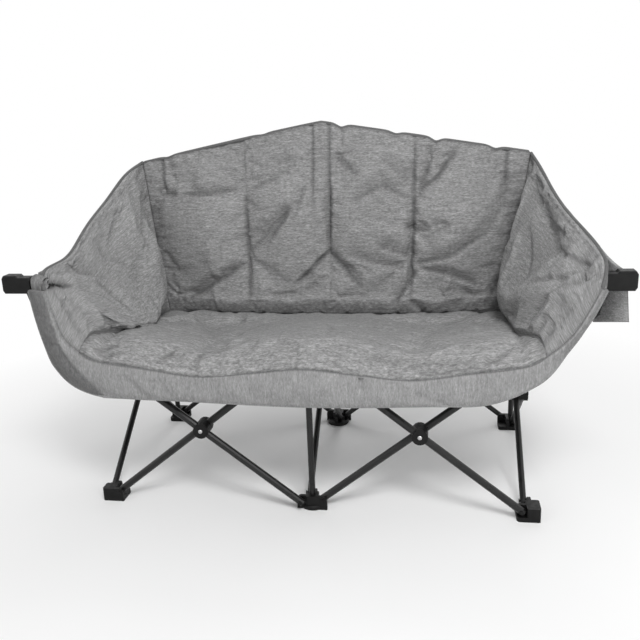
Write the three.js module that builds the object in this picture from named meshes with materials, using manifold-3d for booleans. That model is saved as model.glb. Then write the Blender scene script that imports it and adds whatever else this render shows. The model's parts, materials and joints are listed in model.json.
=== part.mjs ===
// Folding camping loveseat: a two-bay scissor frame of steel tubes that carries a padded bucket seat.
// Millimetres, +Z up, -Y is the front, origin on the floor under the middle of the frame.
import * as THREE from 'three';
import { mergeVertices } from 'three/addons/utils/BufferGeometryUtils.js';
import Module from 'manifold-3d';

const wasm = await Module();
wasm.setup();

// Scissor frame
const FOOT_PITCH = 540;
const MID_PIVOT = 28;
const CORNER_PIVOT = 20;
const SPAN = FOOT_PITCH - MID_PIVOT - CORNER_PIVOT;
const OPEN_ANGLE = THREE.MathUtils.degToRad(38);
const FOOT_PIVOT_Z = 25;
const LINK = SPAN / Math.cos(OPEN_ANGLE);
const RISE = SPAN * Math.tan(OPEN_ANGLE);
const TOP_PIVOT_Z = FOOT_PIVOT_Z + RISE;
const FRONT_TUBE_R = 9.5;
const TUBE_R = 8;
const TUBE_WALL = 1.2;
const TUBE_OVERHANG = 7;
const TUBE_SIDES = 12;
const ARM_REACH = 188;
const FIT = 0.3;

// Planes of the crossing tubes
const HUB_WALL = 3;
const FRONT_GAP = 24;
const SIDE_GAP = 21;
const DEPTH_SHIFT = 18;
const REAR_STEP = 27;
const SIDE_FRONT_Y = DEPTH_SHIFT - SPAN / 2;
const SIDE_REAR_Y = DEPTH_SHIFT + SPAN / 2;
const FRONT_INNER_Y = SIDE_FRONT_Y - FRONT_GAP;
const FRONT_OUTER_Y = FRONT_INNER_Y - FRONT_GAP;
const REAR_INNER_Y = SIDE_REAR_Y + REAR_STEP;
const REAR_OUTER_Y = REAR_INNER_Y + SIDE_GAP;

// Rivets and lugs
const PIN_R = 3;
const PIN_SIDES = 6;
const PIN_HOLE_R = 3.8;
const RIVET_HEAD_R = 5.5;
const RIVET_HEAD = 1.8;
const RIVET_SIDES = 8;
const HUB_R = 20;
const HUB_SIDES = 16;
const LUG_R = 11;
const LUG_SIDES = 12;
const LUG = 9;
const LUG_GAP = 0.5;

// Feet and brackets
const FOOT_BASE = 12;
const FOOT_DISC_R = 34;
const FOOT_OUTER = 26;
const FOOT_TOP = FOOT_PIVOT_Z + LUG_R;
const CORE_HALF = 15.5;
const CORE_CLEAR = 0.8;
const BRACKET_HALF = LUG_R;

// Posts
const POST_R = 8;
const POST_OUTSET = 8;
const POST_X = FOOT_PITCH + POST_OUTSET;
const POST_Y = REAR_INNER_Y - 1;
const POST_SEAT_Z = 6;
const CORNER_POST_TOP = 842;
const MID_POST_TOP = 940;
const FRONT_POST_Y = FRONT_INNER_Y - 3;
const FRONT_POST_TOP = TOP_PIVOT_Z - 25;
const INNER_POST_R = 6;
const INNER_POST_DIP = 300;

// Arm end caps
const CAP_SOCKET = 50;
const CAP_WALL = 3;
const CAP_STEP_X = 8;
const CAP_WIDTH = 72;
const CAP_STEP_Z = 52;
const CAP_HEIGHT = 41;
const CAP_DEPTH = 34;
const ARM_END_X = MID_PIVOT + (LINK + ARM_REACH) * Math.cos(OPEN_ANGLE);
const ARM_END_Z = FOOT_PIVOT_Z + (LINK + ARM_REACH) * Math.sin(OPEN_ANGLE);
const CAP_INNER_X = ARM_END_X + CAP_STEP_X;
const CAP_OUTER_X = CAP_INNER_X + CAP_WIDTH;
const CAP_LOW_Z = ARM_END_Z + CAP_STEP_Z;
const CAP_TOP_Z = CAP_LOW_Z + CAP_HEIGHT;

// Padded back
const SEAT_INSET = 34.4;
const SEAT_HALF = FOOT_PITCH - SEAT_INSET;
const SEAM = 0.4;
const BACK_OVERHANG = 24.6;
const BACK_HALF_TOP = POST_X + BACK_OVERHANG;
const BACK_HEM = 12;
const BACK_TOP_Z = MID_POST_TOP + BACK_HEM;
const BACK_TOP_DROP = MID_POST_TOP - CORNER_POST_TOP;
const BACK_LEAN = 66;
const BACK_SET = 28;
const BACK_TOP_Y = POST_Y - BACK_SET;
const BACK_LOW_Y = BACK_TOP_Y - BACK_LEAN;
const BACK_RIM = 5;
const BACK_PUFF = 40;
const BACK_SEWN = 0.4;
const BACK_FOOT = 0.13;
const BACK_THIN = 0.8;
const BACK_REAR_PUFF = 8;
const BACK_SEAM = 0.45;
const POCKET_R = 14;
const POCKET_DEPTH = 150;
const POCKET_CAP = 4;

// Seat
const SEAT_CREST_Y = FRONT_POST_Y;
const SEAT_REAR_Y = BACK_LOW_Y + 3;
const SEAT_FOLD_Y = (SEAT_CREST_Y + SEAT_REAR_Y) / 2 - 10;
const SEAT_FRONT_Z = TOP_PIVOT_Z;
const SEAT_CREST = 40;
const SEAT_CREST_Z = TOP_PIVOT_Z + SEAT_CREST;
const SEAT_DIP = 26;
const SEAT_FALL = 18;
const SEAT_REAR_Z = TOP_PIVOT_Z - SEAT_FALL;
const SEAT_SIDE_RISE = 12;
const SEAT_THICK = 22;
const SEAT_RIM = 8;
const SEAT_JOIN = 0.6;

// Front band
const BAND_THICK = 9;
const BAND_DROP = 115;
const BAND_TUCK = 28;
const REAR_REACH = REAR_OUTER_Y + TUBE_R + HUB_WALL + RIVET_HEAD;
const BAND_FRONT_Y = -REAR_REACH;
const BAND_REAR_Y = BAND_FRONT_Y + BAND_THICK;
const SEAT_FRONT_Y = BAND_REAR_Y + 2 * SEAM;

// Arms
const ARM_LOW_X = SEAT_HALF + SEAM;
const ARM_TIP_GAP = 4;
const ARM_TIP_SET = 18;
const ARM_TIP_LIFT = 27;
const ARM_TIP_X = CAP_INNER_X - ARM_TIP_GAP;
const ARM_TIP_Y = FRONT_OUTER_Y - ARM_TIP_SET;
const ARM_TIP_Z = CAP_LOW_Z + ARM_TIP_LIFT;
const ARM_BACK_X = BACK_HALF_TOP + SEAM;
const ARM_BACK_Z = CORNER_POST_TOP + 6;
const ARM_THICK = 17;
const ARM_RIM = 5;
const ARM_BULGE = 12;
const ARM_PUFF = 30;
const ARM_SWELL = 0.16;
const ARM_SAG = 16;
const ARM_ROLL = 0.13;

// Side pockets
const FLAP_DROP = 122;
const FLAP_REAR_DROP = 210;
const FLAP_FROM = 0.14;
const FLAP_TO = 0.5;
const FLAP_THICK = 6;
const FLAP_SEW = 4.2;
const FLAP_OUT = 74;
const FLAP_REAR_OUT = 34;

const fabric = new THREE.MeshStandardMaterial({ color: 0x84858a, roughness: 0.95, metalness: 0 });
const enamel = new THREE.MeshStandardMaterial({ color: 0x141416, roughness: 0.35, metalness: 0.6 });
const plastic = new THREE.MeshStandardMaterial({ color: 0x26272a, roughness: 0.55, metalness: 0 });

const loveseat = new THREE.Group();

// A closed geometry becomes a solid that points outwards.
function toSolid(geometry) {
  const bare = geometry.clone();
  bare.deleteAttribute('normal');
  bare.deleteAttribute('uv');
  const merged = mergeVertices(bare, 1e-3);
  const corners = merged.getAttribute('position').array;
  const faces = Array.from(merged.index.array);
  const kept = [];
  for (let i = 0; i < faces.length; i += 3) {
    const [a, b, c] = faces.slice(i, i + 3);
    if (a !== b && b !== c && c !== a) kept.push(a, b, c);
  }
  if (signedVolume(corners, kept) < 0) kept.reverse();
  const mesh = new wasm.Mesh({ numProp: 3, vertProperties: new Float32Array(corners), triVerts: new Uint32Array(kept) });
  return new wasm.Manifold(mesh);
}

function signedVolume(corners, faces) {
  let volume = 0;
  for (let i = 0; i < faces.length; i += 3) {
    const [a, b, c] = [0, 1, 2].map((k) => new THREE.Vector3().fromArray(corners, 3 * faces[i + k]));
    volume += a.dot(b.cross(c)) / 6;
  }
  return volume;
}

function toGeometry(solid) {
  const mesh = solid.getMesh();
  const geometry = new THREE.BufferGeometry();
  geometry.setAttribute('position', new THREE.BufferAttribute(new Float32Array(mesh.vertProperties), 3));
  geometry.setIndex(new THREE.BufferAttribute(new Uint32Array(mesh.triVerts), 1));
  geometry.computeVertexNormals();
  return geometry;
}

function addMesh(name, solid, material, parent = loveseat) {
  const mesh = new THREE.Mesh(toGeometry(solid), material);
  mesh.name = name;
  parent.add(mesh);
  return mesh;
}

function join(solids) {
  return solids.reduce((whole, solid) => whole.add(solid));
}

// A block between two corners, given in any order.
function block([x0, x1], [y0, y1], [z0, z1]) {
  const geometry = new THREE.BoxGeometry(Math.abs(x1 - x0), Math.abs(y1 - y0), Math.abs(z1 - z0));
  geometry.translate((x0 + x1) / 2, (y0 + y1) / 2, (z0 + z1) / 2);
  return toSolid(geometry);
}

// A block with rounded upright edges.
function roundedBlock([x0, x1], [y0, y1], [z0, z1], corner) {
  const [left, right] = [Math.min(x0, x1), Math.max(x0, x1)];
  const [near, far] = [Math.min(y0, y1), Math.max(y0, y1)];
  const outline = new THREE.Shape();
  outline.absarc(left + corner, near + corner, corner, Math.PI, 1.5 * Math.PI);
  outline.absarc(right - corner, near + corner, corner, 1.5 * Math.PI, 2 * Math.PI);
  outline.absarc(right - corner, far - corner, corner, 0, 0.5 * Math.PI);
  outline.absarc(left + corner, far - corner, corner, 0.5 * Math.PI, Math.PI);
  const geometry = new THREE.ExtrudeGeometry(outline, { depth: z1 - z0, bevelEnabled: false, curveSegments: 2 });
  geometry.translate(0, 0, z0);
  return toSolid(geometry);
}

// A round bar along one axis, from one coordinate to another, through the other two coordinates of a point.
function bar(axis, point, from, to, radius, sides) {
  const geometry = new THREE.CylinderGeometry(radius, radius, Math.abs(to - from), sides);
  if (axis === 'x') geometry.rotateZ(Math.PI / 2);
  if (axis === 'z') geometry.rotateX(Math.PI / 2);
  const centre = new THREE.Vector3(...point);
  centre[axis] = (from + to) / 2;
  geometry.translate(centre.x, centre.y, centre.z);
  return toSolid(geometry);
}

// A hollow tube along +X, with cross holes along Y at the given places.
function tube(from, to, radius, holes) {
  const bore = radius - TUBE_WALL;
  const ring = [[bore, from], [radius, from], [radius, to], [bore, to], [bore, from]];
  const geometry = new THREE.LatheGeometry(ring.map(([r, h]) => new THREE.Vector2(r, h)), TUBE_SIDES);
  geometry.rotateZ(-Math.PI / 2);
  const drill = (x) => bar('y', [x, 0, 0], -2 * radius, 2 * radius, PIN_HOLE_R, PIN_SIDES);
  return holes.reduce((whole, x) => whole.subtract(drill(x)), toSolid(geometry));
}

// Two halves of a hub, moulded round the crossing tubes and held by one rivet.
// Each is drawn in its own tube's frame, with the other tube towards the given side.
function hubHalf(radius, gap, side, carriesRivet) {
  const inner = side * (gap / 2 - FIT / 2);
  const outer = -side * (radius + HUB_WALL);
  const disc = bar('y', [LINK / 2, 0, 0], inner, outer, HUB_R, HUB_SIDES);
  const bored = disc.subtract(bar('x', [0, 0, 0], LINK / 2 - 2 * HUB_R, LINK / 2 + 2 * HUB_R, radius + FIT, TUBE_SIDES));
  if (!carriesRivet) {
    return bored.subtract(bar('y', [LINK / 2, 0, 0], -2 * HUB_R, 2 * HUB_R, PIN_HOLE_R, PIN_SIDES));
  }
  const farFace = side * (gap + radius + HUB_WALL + FIT);
  const centre = [LINK / 2, 0, 0];
  return join([
    bored,
    bar('y', centre, outer + side, farFace + side, PIN_R, PIN_SIDES),
    bar('y', centre, outer + side, outer - side * RIVET_HEAD, RIVET_HEAD_R, RIVET_SIDES),
    bar('y', centre, farFace, farFace + side * RIVET_HEAD, RIVET_HEAD_R, RIVET_SIDES),
  ]);
}

// One scissor: a tube that rises along the panel and one that falls, crossing at a hub.
function scissor(name, { x, y, turn, rise, fall, radius, names, riseReach = 0, fallReach = 0 }) {
  const panel = new THREE.Group();
  panel.position.set(x, y, FOOT_PIVOT_Z);
  panel.rotation.z = turn;
  loveseat.add(panel);
  const gap = Math.abs(rise - fall);
  const links = [
    { tube: names[0], hub: `${name}_hub_rear`, from: 0, angle: -OPEN_ANGLE, offset: rise, reach: riseReach },
    { tube: names[1], hub: `${name}_hub_front`, from: SPAN, angle: OPEN_ANGLE - Math.PI, offset: fall, reach: fallReach },
  ];
  links.forEach((link, index) => {
    const towards = Math.sign(index === 0 ? fall - rise : rise - fall);
    const holder = new THREE.Group();
    holder.position.set(link.from, link.offset, 0);
    holder.rotation.y = link.angle;
    panel.add(holder);
    const end = LINK + Math.max(link.reach, TUBE_OVERHANG);
    addMesh(link.tube, tube(-TUBE_OVERHANG, end, radius, [0, LINK / 2, LINK]), enamel, holder);
    addMesh(link.hub, hubHalf(radius, gap, towards, index === 1), plastic, holder);
  });
}

// A lug beside a tube's pivot, with its rivet. The axis is the rivet's, side says where the lug stands,
// and reach is how far the lug runs to its core.
function lug({ axis, at, radius, side, reach, floor }) {
  const [x, y, z] = at;
  const across = axis === 'x' ? x : y;
  const along = axis === 'x' ? y : x;
  const near = across + side * (radius + LUG_GAP);
  const far = near + side * LUG;
  const low = floor === undefined ? z - LUG_R : floor;
  const plate = axis === 'x'
    ? block([near, far], [along, reach], [low, z + LUG_R])
    : block([along, reach], [near, far], [low, z + LUG_R]);
  const skirt = axis === 'x'
    ? block([near, far], [along - LUG_R, along + LUG_R], [low, z])
    : block([along - LUG_R, along + LUG_R], [near, far], [low, z]);
  const head = across - side * (radius + LUG_GAP + FIT);
  const solids = [
    plate,
    bar(axis, at, near, far, LUG_R, LUG_SIDES),
    bar(axis, at, far - side, head - side, PIN_R, PIN_SIDES),
    bar(axis, at, head, head - side * RIVET_HEAD, RIVET_HEAD_R, RIVET_SIDES),
    bar(axis, at, far - side, far + side * RIVET_HEAD, RIVET_HEAD_R, RIVET_SIDES),
  ];
  if (floor !== undefined) solids.push(skirt);
  return join(solids);
}

const frontEnd = Math.hypot(TUBE_OVERHANG, FRONT_TUBE_R) + CORE_CLEAR;
const sideEnd = Math.hypot(TUBE_OVERHANG, TUBE_R) + CORE_CLEAR;
const cornerX = FOOT_PITCH - CORNER_PIVOT;
const sideOffset = SIDE_GAP / 2;
const coreFrontY = SIDE_FRONT_Y - sideEnd;
const coreRearY = SIDE_REAR_Y + sideEnd;
const rearLugY = REAR_INNER_Y + TUBE_R + LUG_GAP + LUG;
const frontLugY = FRONT_INNER_Y - FRONT_TUBE_R - LUG_GAP - LUG;
const outerFrontY = FRONT_OUTER_Y + FRONT_TUBE_R + LUG_GAP;
const outerRearY = REAR_OUTER_Y - TUBE_R - LUG_GAP;
const outsideX = FOOT_PITCH + FOOT_OUTER;

// The four kinds of pivot that the feet and brackets carry, at height z.
function frontPivot(x, plane, side, reach, z, floor) {
  return lug({ axis: 'y', at: [x, plane, z], radius: FRONT_TUBE_R, side, reach, floor });
}

function rearPivot(x, plane, side, reach, z, floor) {
  return lug({ axis: 'y', at: [x, plane, z], radius: TUBE_R, side, reach, floor });
}

function sidePivot(x, y, side, reach, z, floor) {
  return lug({ axis: 'x', at: [x, y, z], radius: TUBE_R, side, reach, floor });
}

// Front scissors cross in the same hand on both bays: the tube that falls to the right is in front.
scissor('front_left', {
  x: -cornerX, y: 0, turn: 0, rise: FRONT_INNER_Y, fall: FRONT_OUTER_Y, radius: FRONT_TUBE_R,
  names: ['front_left_short_tube', 'front_left_arm_tube'], fallReach: ARM_REACH,
});
scissor('front_right', {
  x: MID_PIVOT, y: 0, turn: 0, rise: FRONT_INNER_Y, fall: FRONT_OUTER_Y, radius: FRONT_TUBE_R,
  names: ['front_right_arm_tube', 'front_right_short_tube'], riseReach: ARM_REACH,
});
scissor('rear_left', {
  x: -cornerX, y: 0, turn: 0, rise: REAR_INNER_Y, fall: REAR_OUTER_Y, radius: TUBE_R,
  names: ['rear_left_tube_outer', 'rear_left_tube_middle'],
});
scissor('rear_right', {
  x: MID_PIVOT, y: 0, turn: 0, rise: REAR_INNER_Y, fall: REAR_OUTER_Y, radius: TUBE_R,
  names: ['rear_right_tube_middle', 'rear_right_tube_outer'],
});
[['side_left', -FOOT_PITCH], ['side_middle', 0], ['side_right', FOOT_PITCH]].forEach(([name, x]) => {
  scissor(name, {
    x, y: SIDE_FRONT_Y, turn: Math.PI / 2, rise: sideOffset, fall: -sideOffset, radius: TUBE_R,
    names: [`${name}_tube_front`, `${name}_tube_rear`],
  });
});

// Feet: a flat sole, a core and one lug for each tube. The rear feet also hold a post.
function footSole(x0, x1, y0, y1) {
  return roundedBlock([x0, x1], [y0, y1], [0, FOOT_BASE], LUG);
}

function postSocket(x, y) {
  return bar('z', [x, y, 0], POST_SEAT_Z, 2 * FOOT_TOP, POST_R + FIT, TUBE_SIDES);
}

function soleDisc(y) {
  const profile = [[0, 0], [FOOT_DISC_R - 2, 0], [FOOT_DISC_R, 3], [FOOT_DISC_R, FOOT_BASE - 3],
    [FOOT_DISC_R - 4, FOOT_BASE], [0, FOOT_BASE]];
  const geometry = new THREE.LatheGeometry(profile.map(([r, h]) => new THREE.Vector2(r, h)), 20);
  geometry.rotateX(Math.PI / 2);
  geometry.translate(0, y, 0);
  return toSolid(geometry);
}

const footZ = FOOT_PIVOT_Z;
const soleFrontY = FRONT_OUTER_Y - LUG_R;
const soleRearY = rearLugY;
const sideFrontEdge = SIDE_FRONT_Y + LUG_R;
const sideRearEdge = SIDE_REAR_Y - LUG_R;

addMesh('front_left_foot', join([
  footSole(-outsideX, -cornerX + LUG_R, frontLugY, sideFrontEdge),
  roundedBlock([-outsideX, -cornerX - frontEnd], [frontLugY, coreFrontY], [0, FOOT_TOP], LUG / 2),
  frontPivot(-cornerX, FRONT_INNER_Y, -1, -outsideX + LUG, footZ, 0),
  sidePivot(-FOOT_PITCH - sideOffset, SIDE_FRONT_Y, 1, coreFrontY - 1, footZ, 0),
]), plastic);

addMesh('front_right_foot', join([
  footSole(cornerX - LUG_R, outsideX, soleFrontY, sideFrontEdge),
  roundedBlock([cornerX + frontEnd, outsideX], [soleFrontY, coreFrontY], [0, FOOT_TOP], LUG / 2),
  frontPivot(cornerX, FRONT_OUTER_Y, 1, outsideX - LUG, footZ, 0),
  sidePivot(FOOT_PITCH - sideOffset, SIDE_FRONT_Y, 1, coreFrontY - 1, footZ, 0),
]), plastic);

addMesh('front_middle_foot', join([
  soleDisc((frontLugY + sideFrontEdge) / 2),
  roundedBlock([-CORE_HALF, CORE_HALF], [frontLugY, coreFrontY], [0, FOOT_TOP], LUG / 2),
  frontPivot(-MID_PIVOT, FRONT_OUTER_Y, 1, 0, footZ, 0),
  frontPivot(MID_PIVOT, FRONT_INNER_Y, -1, 0, footZ, 0),
  sidePivot(-sideOffset, SIDE_FRONT_Y, 1, coreFrontY - 1, footZ, 0),
]).subtract(postSocket(0, FRONT_POST_Y)), plastic);

addMesh('rear_left_foot', join([
  footSole(-outsideX, -cornerX + LUG_R, sideRearEdge, soleRearY),
  roundedBlock([-outsideX, -cornerX - sideEnd], [coreRearY, rearLugY], [0, FOOT_TOP], LUG / 2),
  rearPivot(-cornerX, REAR_INNER_Y, 1, -outsideX + LUG, footZ, 0),
  sidePivot(-FOOT_PITCH + sideOffset, SIDE_REAR_Y, -1, coreRearY + 1, footZ, 0),
]).subtract(postSocket(-POST_X, POST_Y)), plastic);

addMesh('rear_right_foot', join([
  footSole(cornerX - LUG_R, outsideX, sideRearEdge, soleRearY),
  roundedBlock([cornerX + sideEnd, outsideX], [coreRearY, outerRearY], [0, FOOT_TOP], LUG / 2),
  rearPivot(cornerX, REAR_OUTER_Y, -1, outsideX - LUG, footZ, 0),
  sidePivot(FOOT_PITCH + sideOffset, SIDE_REAR_Y, -1, coreRearY + 1, footZ, 0),
]).subtract(postSocket(POST_X, POST_Y)), plastic);

addMesh('rear_middle_foot', join([
  soleDisc((sideRearEdge + soleRearY) / 2),
  roundedBlock([-CORE_HALF, CORE_HALF], [coreRearY, rearLugY], [0, FOOT_TOP], LUG / 2),
  rearPivot(-MID_PIVOT, REAR_OUTER_Y, -1, 0, footZ, 0),
  rearPivot(MID_PIVOT, REAR_INNER_Y, 1, 0, footZ, 0),
  sidePivot(sideOffset, SIDE_REAR_Y, -1, coreRearY + 1, footZ, 0),
]).subtract(postSocket(0, POST_Y)), plastic);

// Brackets at the front corners of the seat, where an arm tube and a side tube meet.
const topZ = TOP_PIVOT_Z;
const bracketZ = [topZ - BRACKET_HALF, topZ + BRACKET_HALF];
const rightCheekX = FOOT_PITCH + sideOffset + TUBE_R + LUG_GAP + LUG;

addMesh('front_left_bracket', join([
  block([-FOOT_PITCH + sideOffset - TUBE_R - LUG_GAP - LUG, -cornerX], [outerFrontY, coreFrontY], bracketZ),
  frontPivot(-cornerX, FRONT_OUTER_Y, 1, -FOOT_PITCH, topZ),
  sidePivot(-FOOT_PITCH + sideOffset, SIDE_FRONT_Y, -1, coreFrontY - 1, topZ),
]), plastic);

addMesh('front_right_bracket', join([
  frontPivot(cornerX, FRONT_INNER_Y, -1, rightCheekX, topZ),
  sidePivot(FOOT_PITCH + sideOffset, SIDE_FRONT_Y, 1, frontLugY, topZ),
]), plastic);

// Telescoping front leg: the upper tube is fixed in the middle bracket and slides in the lower one.
const innerPostFoot = topZ - BRACKET_HALF - INNER_POST_DIP;
addMesh('front_middle_bracket', join([
  roundedBlock([-CORE_HALF, CORE_HALF], [frontLugY, coreFrontY], bracketZ, LUG / 2),
  frontPivot(-MID_PIVOT, FRONT_INNER_Y, -1, 0, topZ),
  frontPivot(MID_PIVOT, FRONT_OUTER_Y, 1, 0, topZ),
  sidePivot(sideOffset, SIDE_FRONT_Y, -1, coreFrontY - 1, topZ),
]).subtract(bar('z', [0, FRONT_POST_Y, 0], 0, topZ, INNER_POST_R + FIT, TUBE_SIDES)), plastic);

// An upright tube, closed at neither end.
function upright(name, x, y, from, to, radius) {
  const mesh = addMesh(name, tube(from, to, radius, []), enamel);
  mesh.position.set(x, y, 0);
  mesh.rotation.y = -Math.PI / 2;
  return mesh;
}

upright('front_leg_lower_tube', 0, FRONT_POST_Y, POST_SEAT_Z + FIT, FRONT_POST_TOP, POST_R);
upright('front_leg_upper_tube', 0, FRONT_POST_Y, innerPostFoot, topZ - FIT, INNER_POST_R);
upright('back_post_left', -POST_X, POST_Y, POST_SEAT_Z + FIT, CORNER_POST_TOP, POST_R);
upright('back_post_right', POST_X, POST_Y, POST_SEAT_Z + FIT, CORNER_POST_TOP, POST_R);
upright('back_post_middle', 0, POST_Y, POST_SEAT_Z + FIT, MID_POST_TOP, POST_R);

// Sliders that ride on the back posts as the frame folds.
function sliderBore(x) {
  return bar('z', [x, POST_Y, 0], topZ - 2 * LUG_R, topZ + 2 * LUG_R, POST_R + 2 * FIT, TUBE_SIDES);
}

addMesh('back_slider_left', join([
  roundedBlock([-outsideX, -cornerX - sideEnd], [coreRearY, outerRearY], bracketZ, LUG / 2),
  rearPivot(-cornerX, REAR_OUTER_Y, -1, -FOOT_PITCH, topZ),
  sidePivot(-FOOT_PITCH - sideOffset, SIDE_REAR_Y, 1, coreRearY + 1, topZ),
]).subtract(sliderBore(-POST_X)), plastic);

addMesh('back_slider_right', join([
  roundedBlock([cornerX + sideEnd, outsideX], [coreRearY, rearLugY], bracketZ, LUG / 2),
  rearPivot(cornerX, REAR_INNER_Y, 1, FOOT_PITCH, topZ),
  sidePivot(FOOT_PITCH - sideOffset, SIDE_REAR_Y, 1, coreRearY + 1, topZ),
]).subtract(sliderBore(POST_X)), plastic);

addMesh('back_slider_middle', join([
  roundedBlock([-CORE_HALF, CORE_HALF], [coreRearY, rearLugY], bracketZ, LUG / 2),
  rearPivot(-MID_PIVOT, REAR_INNER_Y, 1, 0, topZ),
  rearPivot(MID_PIVOT, REAR_OUTER_Y, -1, 0, topZ),
  sidePivot(-sideOffset, SIDE_REAR_Y, 1, coreRearY + 1, topZ),
]).subtract(sliderBore(0)), plastic);

// Moulded caps on the arm tubes, cranked up to the arm tips that they hold.
const armEnd = LINK + ARM_REACH;

function armCap(name, hand, plane) {
  const along = new THREE.Vector2(Math.cos(OPEN_ANGLE), Math.sin(OPEN_ANGLE));
  const at = (s) => [MID_PIVOT + s * along.x, FOOT_PIVOT_Z + s * along.y];
  const socketR = FRONT_TUBE_R + CAP_WALL;
  const [neckX, neckZ] = at(armEnd + CAP_WALL);
  const outline = new THREE.Shape();
  outline.moveTo(neckX + 2, neckZ - 2);
  outline.lineTo(CAP_INNER_X + LUG_R, CAP_LOW_Z);
  outline.lineTo(CAP_OUTER_X - 4, CAP_LOW_Z);
  outline.lineTo(CAP_OUTER_X, CAP_LOW_Z + 6);
  outline.lineTo(CAP_OUTER_X, CAP_TOP_Z - 6);
  outline.lineTo(CAP_OUTER_X - 4, CAP_TOP_Z);
  outline.lineTo((CAP_INNER_X + CAP_OUTER_X) / 2, CAP_TOP_Z);
  outline.lineTo((CAP_INNER_X + CAP_OUTER_X) / 2 - 5, CAP_TOP_Z - 5);
  outline.lineTo(CAP_INNER_X + 3, CAP_TOP_Z - 5);
  outline.lineTo(CAP_INNER_X, CAP_TOP_Z - 10);
  outline.lineTo(CAP_INNER_X, CAP_LOW_Z);
  outline.lineTo(neckX - socketR, neckZ + 4);
  outline.closePath();
  const head = new THREE.ExtrudeGeometry(outline, { depth: CAP_DEPTH - 6, bevelThickness: 3, bevelSize: 2, bevelSegments: 1 });
  head.translate(0, 0, -(CAP_DEPTH - 6) / 2);
  head.rotateX(Math.PI / 2);
  const socket = new THREE.CylinderGeometry(socketR, socketR, CAP_SOCKET, HUB_SIDES);
  const bore = new THREE.CylinderGeometry(FRONT_TUBE_R + FIT, FRONT_TUBE_R + FIT, CAP_SOCKET, TUBE_SIDES);
  [[socket, armEnd + CAP_WALL], [bore, armEnd + FIT]].forEach(([geometry, end]) => {
    const [x, z] = at(end - CAP_SOCKET / 2);
    geometry.rotateZ(-Math.PI / 2);
    geometry.rotateY(-OPEN_ANGLE);
    geometry.translate(x, 0, z);
  });
  const reach = new THREE.CylinderGeometry(FRONT_TUBE_R + FIT, FRONT_TUBE_R + FIT, 2 * CAP_SOCKET, TUBE_SIDES);
  const [midX, midZ] = at(armEnd + FIT - CAP_SOCKET);
  reach.rotateZ(-Math.PI / 2);
  reach.rotateY(-OPEN_ANGLE);
  reach.translate(midX, 0, midZ);
  const cap = toSolid(head).add(toSolid(socket)).subtract(toSolid(reach));
  const geometry = toGeometry(cap);
  geometry.scale(hand, 1, 1);
  geometry.translate(0, plane, 0);
  addMesh(name, toSolid(geometry), plastic);
}

armCap('left_arm_cap', -1, FRONT_OUTER_Y);
armCap('right_arm_cap', 1, FRONT_INNER_Y);

// A padded sheet: two faces over the same grid, closed round the rim.
function padded(outer, inner, columns, rows) {
  const corners = [];
  const faces = [];
  const stride = rows + 1;
  [outer, inner].forEach((face) => {
    for (let i = 0; i <= columns; i += 1) {
      for (let j = 0; j <= rows; j += 1) corners.push(...face(i / columns, j / rows));
    }
  });
  const back = (columns + 1) * stride;
  const quad = (a, b, c, d) => faces.push(a, b, c, a, c, d);
  for (let i = 0; i < columns; i += 1) {
    for (let j = 0; j < rows; j += 1) {
      const a = i * stride + j;
      quad(a, a + stride, a + stride + 1, a + 1);
      quad(back + a, back + a + 1, back + a + stride + 1, back + a + stride);
    }
  }
  for (let i = 0; i < columns; i += 1) {
    const a = i * stride;
    quad(a + stride, a, back + a, back + a + stride);
    quad(a + rows, a + stride + rows, back + a + stride + rows, back + a + rows);
  }
  for (let j = 0; j < rows; j += 1) {
    const a = columns * stride + j;
    quad(j, j + 1, back + j + 1, back + j);
    quad(a + 1, a, back + a, back + a + 1);
  }
  const geometry = new THREE.BufferGeometry();
  geometry.setAttribute('position', new THREE.Float32BufferAttribute(corners, 3));
  geometry.setIndex(faces);
  return toSolid(geometry);
}

const mix = (a, b, t) => a + (b - a) * t;
const crown = (t) => Math.sqrt(Math.max(0, Math.sin(Math.PI * t)));

// Back: four padded channels between upright seams, fullest over the seat and thin at the top.
// Half of the columns lie inside the seams and half outside, so that each seam has a column of its own.
function backSpread(u) {
  const side = 2 * u - 1;
  const half = 2 * Math.abs(side);
  return Math.sign(side) * (half < 1 ? half * BACK_SEAM : mix(BACK_SEAM, 1, half - 1));
}

function backPoint(u, v) {
  const s = backSpread(u);
  const top = BACK_TOP_Z - BACK_TOP_DROP * Math.abs(s) ** 1.1;
  const low = SEAT_REAR_Z + 1 + SEAT_SIDE_RISE * s * s;
  return [s * mix(SEAT_HALF, BACK_HALF_TOP, v), mix(BACK_LOW_Y, BACK_TOP_Y, v), mix(low, top, v)];
}

function backFront(u, v) {
  const [x, y, z] = backPoint(u, v);
  const channel = Math.sqrt(Math.abs(Math.sin(2 * Math.PI * (2 * u - 1))));
  const foot = Math.min(1, v / BACK_FOOT);
  const rise = Math.sqrt(foot * (2 - foot));
  const fall = 1 - BACK_THIN * THREE.MathUtils.smoothstep(v, 0.5, 0.95);
  const edge = Math.min(1, 6 * u, 6 * (1 - u)) * Math.min(1, 8 * (1 - v));
  return [x, y - BACK_RIM - BACK_PUFF * mix(BACK_SEWN, 1, channel) * rise * fall * edge, z];
}

function backRear(u, v) {
  const [x, y, z] = backPoint(u, v);
  return [x, y + BACK_RIM + BACK_REAR_PUFF * crown(v) * crown(u), z];
}

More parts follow.
